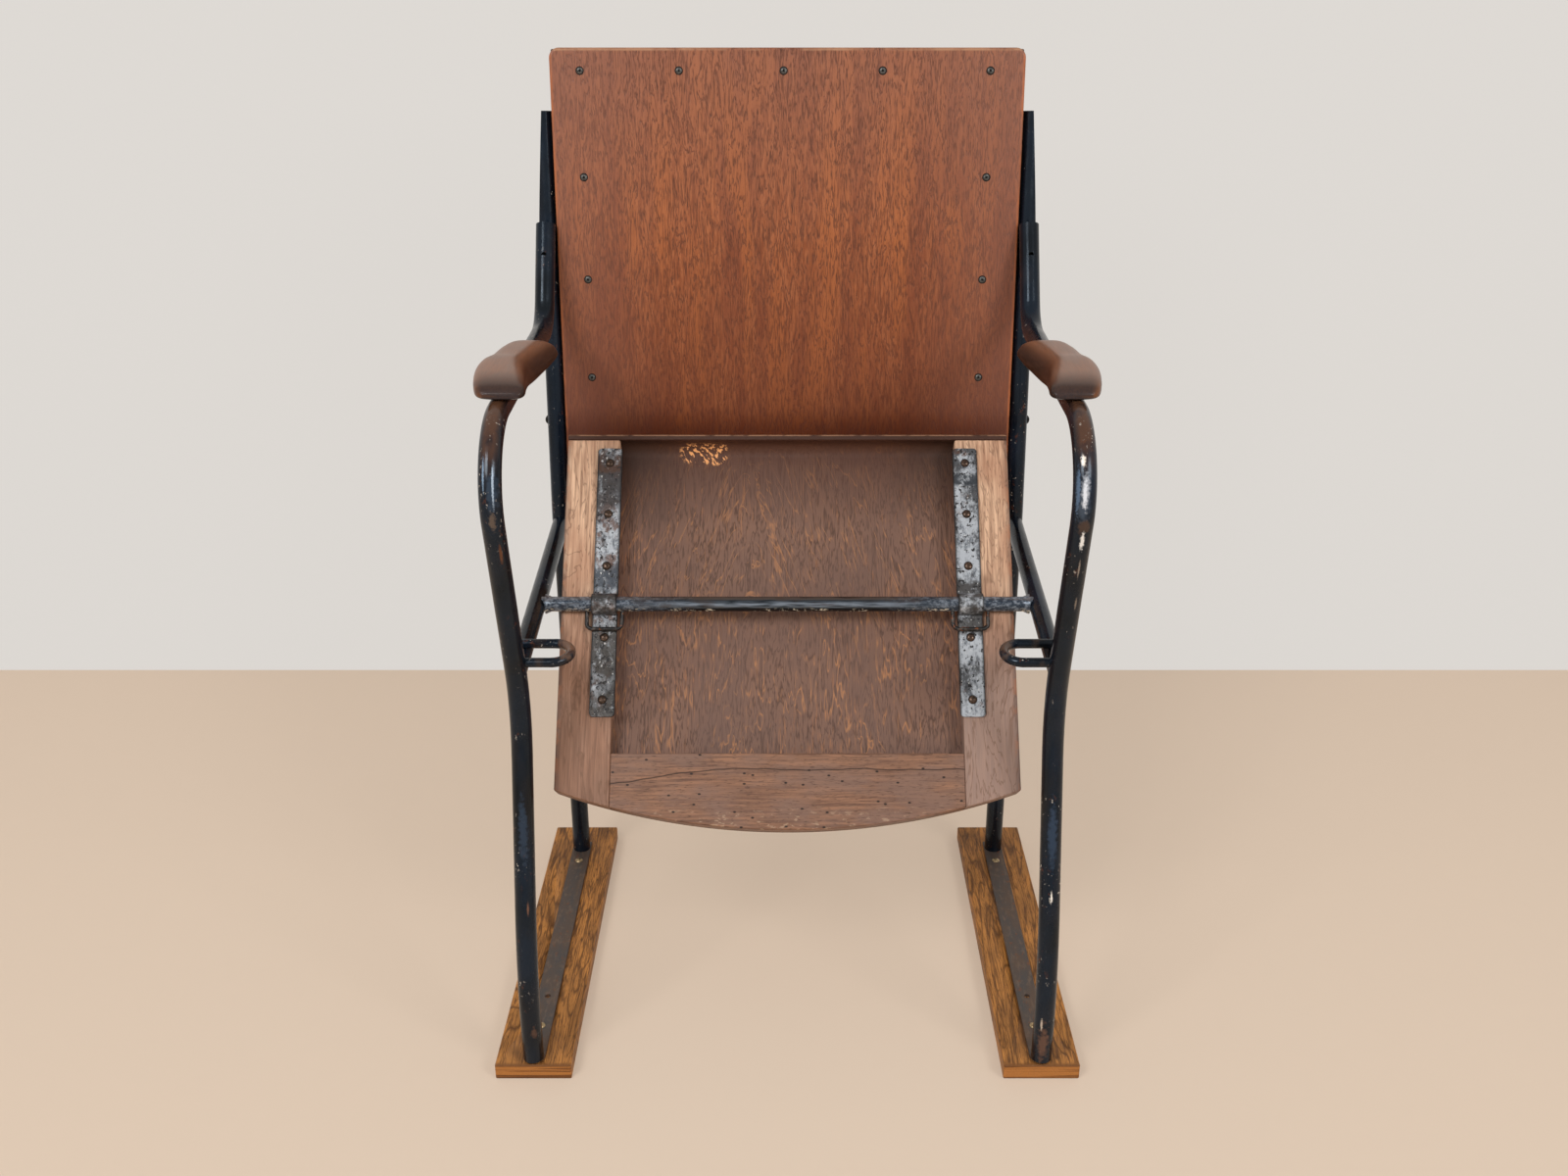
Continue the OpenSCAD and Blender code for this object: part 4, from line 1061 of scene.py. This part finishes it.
class CHAIR_OT_hinge_straps(bpy.types.Operator):
    """Makes the two pitted hinge straps, with rounded ends, that saddle the cross tube"""
    bl_idname = "chair.hinge_straps"
    bl_label = "Hinge straps"

    def execute(self, context):
        face, hump_r = UNDER_Z - HINGE_T, HINGE_BORE_R + HINGE_T
        turn = math.degrees(math.asin(face / hump_r))
        corner, half = sizes().iron_corner, HINGE_W / 2
        # distance from the strap's middle line, and how far its rounded ends draw back there
        across = [(-half + corner - c, corner - s)
                  for c, s in arc((0, 0), corner, 0, 90, STRAP_STEPS)]
        across += [(-d, pull) for d, pull in reversed(across)]
        for side, s in SIDES.items():
            rings = []
            for d, pull in across:
                front, rear = -HINGE_FRONT + pull, HINGE_REAR - pull
                ring = [(front, face)] + arc((0, 0), hump_r, 180 - turn, 360 + turn, HUMP_STEPS)
                ring += [(rear, face), (rear, UNDER_Z), (HINGE_BORE_R, UNDER_Z)]
                ring += arc((0, 0), HINGE_BORE_R, 360, 180, BORE_STEPS)
                ring += [(-HINGE_BORE_R, UNDER_Z), (front, UNDER_Z)]
                rings.append([(s * HINGE_X + d, y, z) for y, z in ring])
            made = lofted(f"hinge_iron_{side}", rings, on_seat, f"iron_{side}", sharp=25)
            bevelled(made, sizes().iron_edge, segments=2, angle=50)
            placed_in(made, "seat", "strap_steel", f"hinge_strap_{side}")
        return {"FINISHED"}


# ---------------------------------------------------------------- screws


def screw_tree():
    """Domed screw heads on points: each faces its point's direction, with a slot, a cross or a
    round socket in the dome, and stands in a dark ring of painted shade, with a dark disc of
    painted shade on the socket's floor. Its sizes are in millimetres, which the cutting needs,
    and the instances bring them to metres."""
    tree = bpy.data.node_groups.new("screw_heads", "GeometryNodeTree")
    face = tree.interface
    face.new_socket("Points", in_out="INPUT", socket_type="NodeSocketGeometry")
    # the cross, ring and socket are too small to show unless a size is given
    for label, value in (("Head radius", 4), ("Dome height", 2), ("Slot width", 1),
                         ("Slot depth", 0.8), ("Slot length", 8), ("Cross length", 0.1),
                         ("Ring radius", 0.1), ("Socket radius", 0.05)):
        socket = face.new_socket(label, in_out="INPUT", socket_type="NodeSocketFloat")
        socket.default_value = value
    for label in ("Finish", "Ring finish"):
        face.new_socket(label, in_out="INPUT", socket_type="NodeSocketMaterial")
    face.new_socket("Screws", in_out="OUTPUT", socket_type="NodeSocketGeometry")
    given = add(tree, "NodeGroupInput").node.outputs

    flat = add(tree, "ShaderNodeMath", {0: given["Dome height"], 1: given["Head radius"]},
               operation="DIVIDE")
    dome = add(tree, "GeometryNodeTransform", {
        "Geometry": add(tree, "GeometryNodeMeshUVSphere", {
            "Segments": HEAD_SIDES, "Rings": HEAD_ROWS, "Radius": given["Head radius"]}),
        "Scale": add(tree, "ShaderNodeCombineXYZ", {0: 1.0, 1: 1.0, 2: flat})})
    # each cutter is centred on the top of the dome, so it is twice as tall as it cuts; the three
    # differ a little, so that no two of their faces lie in one plane
    tall = [add(tree, "ShaderNodeMath", {0: given["Slot depth"], 1: times}, operation="MULTIPLY")
            for times in (2.0, 2.04, 2.08)]
    cutters = [add(tree, "GeometryNodeMeshCube", {"Size": add(tree, "ShaderNodeCombineXYZ", {
        0: given[x], 1: given[y], 2: height})})
        for x, y, height in (("Slot length", "Slot width", tall[0]),
                             ("Slot width", "Cross length", tall[1]))]
    cutters.append(add(tree, "GeometryNodeMeshCylinder", {
        "Vertices": SOCKET_SIDES, "Radius": given["Socket radius"], "Depth": tall[2]}))
    top = add(tree, "ShaderNodeCombineXYZ", {2: given["Dome height"]})
    for cutter in cutters:
        raised = add(tree, "GeometryNodeTransform", {"Geometry": cutter, "Translation": top})
        dome = add(tree, "GeometryNodeMeshBoolean", {"Mesh 1": dome, "Mesh 2": raised},
                   operation="DIFFERENCE")

    # painted shade: a dark ring under the head, and a dark disc on the floor of the socket, clear
    # of its wall
    ring = add(tree, "GeometryNodeMeshCylinder", {
        "Vertices": RING_SIDES, "Radius": given["Ring radius"], "Depth": SHADE_DISC_T})
    narrower = add(tree, "ShaderNodeMath", {0: given["Socket radius"], 1: 0.94},
                   operation="MULTIPLY")
    deep = add(tree, "ShaderNodeMath", {0: given["Dome height"], 1: given["Slot depth"]},
               operation="SUBTRACT")
    fill = add(tree, "GeometryNodeTransform", {
        "Geometry": add(tree, "GeometryNodeMeshCylinder", {
            "Vertices": SOCKET_SIDES, "Radius": narrower, "Depth": SHADE_DISC_T}),
        "Translation": add(tree, "ShaderNodeCombineXYZ", {2: add(tree, "ShaderNodeMath", {
            0: deep, 1: SHADE_DISC_T / 3})})})
    dirt = add(tree, "GeometryNodeJoinGeometry", {0: ring}).node
    tree.links.new(fill, dirt.inputs[0])
    marked = add(tree, "GeometryNodeStoreNamedAttribute", {
        "Geometry": dirt.outputs[0], "Name": "dirt", "Value": True},
        data_type="BOOLEAN", domain="FACE")
    head = add(tree, "GeometryNodeJoinGeometry", {0: dome}).node
    tree.links.new(marked, head.inputs[0])

    facing = add(tree, "GeometryNodeInputNamedAttribute", {"Name": "facing"},
                 data_type="FLOAT_VECTOR")
    spin = add(tree, "GeometryNodeInputNamedAttribute", {"Name": "spin"}, data_type="FLOAT")
    turn = add(tree, "FunctionNodeRotateRotation", {
        "Rotation": add(tree, "FunctionNodeAlignRotationToVector", {"Vector": facing}, axis="Z"),
        "Rotate By": add(tree, "FunctionNodeAxisAngleToRotation", {
            "Axis": (0, 0, 1), "Angle": spin})}, rotation_space="LOCAL")
    spread = add(tree, "GeometryNodeInstanceOnPoints", {
        "Points": given["Points"], "Instance": head.outputs[0],
        "Rotation": turn, "Scale": (MM, MM, MM)})
    real = add(tree, "GeometryNodeRealizeInstances", {"Geometry": spread})
    metal = add(tree, "GeometryNodeSetMaterial", {"Geometry": real, "Material": given["Finish"]})
    shaded_faces = add(tree, "GeometryNodeInputNamedAttribute", {"Name": "dirt"}, data_type="BOOLEAN")
    add(tree, "NodeGroupOutput", {"Screws": add(tree, "GeometryNodeSetMaterial", {
        "Geometry": metal, "Selection": shaded_faces, "Material": given["Ring finish"]})})
    return tree


def screws(name, places, finish, body, slot, node, dice, **values):
    """Screw heads at (point, direction) places, as one mesh on one body. The values are sizes in
    millimetres."""
    tree = bpy.data.node_groups.get("screw_heads") or screw_tree()
    mesh = bpy.data.meshes.new(name)
    mesh.from_pydata([tuple(point) for point, _ in places], [], [])
    mesh.materials.append(material(finish))
    facing = mesh.attributes.new("facing", "FLOAT_VECTOR", "POINT")
    facing.data.foreach_set("vector", [part for _, direction in places for part in direction])
    spins = [dice.uniform(0, math.pi) for _ in places]
    mesh.attributes.new("spin", "FLOAT", "POINT").data.foreach_set("value", spins)
    made = bpy.data.objects.new(name, mesh)
    bpy.context.scene.collection.objects.link(made)
    heads = made.modifiers.new("heads", "NODES")
    heads.node_group = tree
    # the rings under the heads and the discs in the sockets take a dark finish as painted shade
    values = dict(values, finish=material(finish), ring_finish=material("bolts_and_screw_shade"))
    for item in tree.interface.items_tree:
        key = item.name.lower().replace(" ", "_")
        if item.in_out == "INPUT" and key in values:
            heads[item.identifier] = values[key]
    applied(made)
    made.data.shade_smooth()
    made.data.set_sharp_from_angle(angle=math.radians(40))
    placed_in(made, body, slot, node)


class CHAIR_OT_screws(bpy.types.Operator):
    """Makes the heads of all the screws"""
    bl_idname = "chair.screws"
    bl_label = "Screws"

    def execute(self, context):
        dice = random.Random(SCREW_SEED)
        up = Vector((0, 0, 1))
        sides = SIDES.values()
        front = (on_back((0, 0, -1)) - on_back((0, 0, 0))).normalized()
        last = len(BACK_SCREW_ROWS) - 1
        spots = [(on_back((x * BACK_W, y * BACK_H, 0)), front)
                 for i, x in enumerate(BACK_SCREW_COLUMNS) for j, y in enumerate(BACK_SCREW_ROWS)
                 if i in (0, last) or j in (0, last)]
        screws("back_screw_heads", spots, "screw", "frame", "dark_screws", "back_panel_screws",
               dice, head_radius=3.3, dome_height=1.3, slot_length=4.2, cross_length=4.2,
               slot_width=0.8, slot_depth=0.9, ring_radius=4.2, socket_radius=1.3)

        spots = [(Vector((s * SIDE_X, y - MIDDLE_Y, STRAP_TOP)), up)
                 for s in sides for y in FOOT_SCREW_Y]
        screws("foot_screw_heads", spots, "brass", "frame", "brass", "foot_screws", dice,
               head_radius=4.5, dome_height=2, slot_length=12)

        down = (TIP_TURN @ -up).normalized()
        spots = [(on_seat((s * HINGE_X, y, UNDER_Z - HINGE_T)), down)
                 for s in sides for y in HINGE_SCREWS]
        screws("hinge_screw_heads", spots, "hinge_screw", "seat", "dark_screws", "hinge_screws",
               dice, head_radius=4, dome_height=1.9, slot_length=10, ring_radius=4.5)

        places = [(s * (SEAT_HALF - PLY_SCREW_INSET), y) for s in sides for y in PLY_SCREW_Y]
        places += [(x * (SEAT_HALF - STILE_W), SEAT_REAR) for x in PLY_SCREW_X]
        spots = [(on_seat((x, y, PLY_Z + PLY_T)), -down) for x, y in places]
        screws("seat_ply_screw_heads", spots, "hinge_screw", "seat", "dark_screws",
               "seat_panel_screws", dice, head_radius=3.8, dome_height=1.2, slot_length=10,
               slot_depth=0.6)

        ys = [ARMREST_FRONT + part * ARMREST_L for part in ARMREST_SCREW_Y]
        spots = [(Vector((s * SIDE_X, y - MIDDLE_Y, arm_z(y) - TUBE_R)), -up)
                 for s in sides for y in ys]
        screws("armrest_screw_heads", spots, "screw", "frame", "dark_screws", "armrest_screws",
               dice, head_radius=3.8, dome_height=2, slot_length=10)
        return {"FINISHED"}


# ---------------------------------------------------------------- stage


def sheet(name, corners, tone, glow, one_sided=False):
    """A flat sheet of studio paper."""
    mesh = bpy.data.meshes.new(name)
    mesh.from_pydata(corners, [], [(0, 1, 2, 3)])
    mesh.materials.append(paper(name, tone, glow, one_sided))
    made = bpy.data.objects.new(name, mesh)
    bpy.context.scene.collection.objects.link(made)


def paper(name, tone, glow, one_sided):
    """Matt studio paper. The camera sees part of its colour evenly lit; a one-sided sheet is seen
    from the front only, so that it hides nothing from behind."""
    made, _ = new_finish(name, roughness=0.8, base_color=tone)
    tree = made.node_tree
    shader = tree.nodes["Principled BSDF"]
    rays = add(tree, "ShaderNodeLightPath").node.outputs
    mirrored = add(tree, "ShaderNodeMath", {
        0: rays["Is Glossy Ray"], 1: rays["Is Transmission Ray"]})
    straight = add(tree, "ShaderNodeMath", {0: rays["Is Camera Ray"], 1: mirrored})
    seen = add(tree, "ShaderNodeMath", {0: straight, 1: glow}, operation="MULTIPLY")
    skin = add(tree, "ShaderNodeMixShader", {
        0: seen, 1: shader.outputs[0], 2: add(tree, "ShaderNodeEmission", {"Color": tone})})
    if one_sided:
        skin = add(tree, "ShaderNodeMixShader", {
            0: add(tree, "ShaderNodeNewGeometry", out="Backfacing"), 1: skin,
            2: add(tree, "ShaderNodeBsdfTransparent")})
    out = next(node for node in tree.nodes if node.type == "OUTPUT_MATERIAL")
    tree.links.new(skin, out.inputs["Surface"])
    return made


def lamp(name, place, width, power):
    """A square soft lamp that faces the chair."""
    light = bpy.data.lights.new(name, "AREA")
    light.shape = "SQUARE"
    light.size = width
    light.energy = power
    made = bpy.data.objects.new(name, light)
    made.location = place
    made.rotation_euler = (LAMP_AIM - Vector(place)).to_track_quat("-Z", "Y").to_euler()
    bpy.context.scene.collection.objects.link(made)


class CHAIR_OT_stage(bpy.types.Operator):
    """Makes the floor, the backdrop, the lamps and the camera"""
    bl_idname = "chair.stage"
    bl_label = "Stage"

    def execute(self, context):
        scene, far = context.scene, ROOM_HALF
        sheet("studio_floor", [(-far, -far, 0), (far, -far, 0), (far, far, 0), (-far, far, 0)],
              colours().floor, FLOOR_GLOW)
        sheet("studio_backdrop",
              [(-far, WALL_Y, 0), (far, WALL_Y, 0), (far, WALL_Y, far), (-far, WALL_Y, far)],
              colours().wall, WALL_GLOW, one_sided=True)

        camera = bpy.data.cameras.new("camera")
        camera.sensor_width = SENSOR
        camera.lens = SENSOR * FOCAL_PX / PICTURE_W
        camera.shift_x = (PICTURE_W / 2 - MIDDLE_PX) / PICTURE_W
        eye = bpy.data.objects.new("camera", camera)
        eye.location = (0, CAMERA_Y, CAMERA_Z)
        eye.rotation_euler = (math.pi / 2 - CAMERA_PITCH, 0, 0)
        scene.collection.objects.link(eye)
        scene.camera = eye

        for name, (place, width, power) in LAMPS.items():
            lamp(name, place, width, power)
        world = bpy.data.worlds.new("studio")
        world.use_nodes = True
        back = world.node_tree.nodes["Background"]
        back.inputs["Color"].default_value = (1, 1, 1, 1)
        back.inputs["Strength"].default_value = WORLD_LIGHT
        scene.world = world
        scene.view_settings.view_transform = "Standard"
        return {"FINISHED"}


# ---------------------------------------------------------------- add-on


OPERATORS = (CHAIR_OT_stage, CHAIR_OT_tubes, CHAIR_OT_runners, CHAIR_OT_armrests, CHAIR_OT_back,
             CHAIR_OT_seat, CHAIR_OT_hinge_straps, CHAIR_OT_screws)


class CHAIR_PT_panel(bpy.types.Panel):
    """Lists the chair's pieces"""
    bl_label = "Tip-up chair"
    bl_space_type = "VIEW_3D"
    bl_region_type = "UI"
    bl_category = "Chair"

    def draw(self, context):
        for operator in OPERATORS:
            self.layout.operator(operator.bl_idname)
        for group in (context.scene.chair_colours, context.scene.chair_sizes):
            for name in group.bl_rna.properties.keys():
                if name not in ("rna_type", "name"):
                    self.layout.prop(group, name)


CLASSES = (ChairColours, ChairSizes) + OPERATORS + (CHAIR_PT_panel,)


def register():
    """Makes the classes and the settings known to Blender."""
    for item in CLASSES:
        bpy.utils.register_class(item)
    bpy.types.Scene.chair_colours = bpy.props.PointerProperty(type=ChairColours)
    bpy.types.Scene.chair_sizes = bpy.props.PointerProperty(type=ChairSizes)


def unregister():
    """Takes them away again."""
    del bpy.types.Scene.chair_sizes
    del bpy.types.Scene.chair_colours
    for item in reversed(CLASSES):
        bpy.utils.unregister_class(item)


def main():
    """Makes the whole chair and its stage."""
    register()
    for operator in OPERATORS:
        group, name = operator.bl_idname.split(".")
        getattr(getattr(bpy.ops, group), name)()


if __name__ == "__main__":
    main()
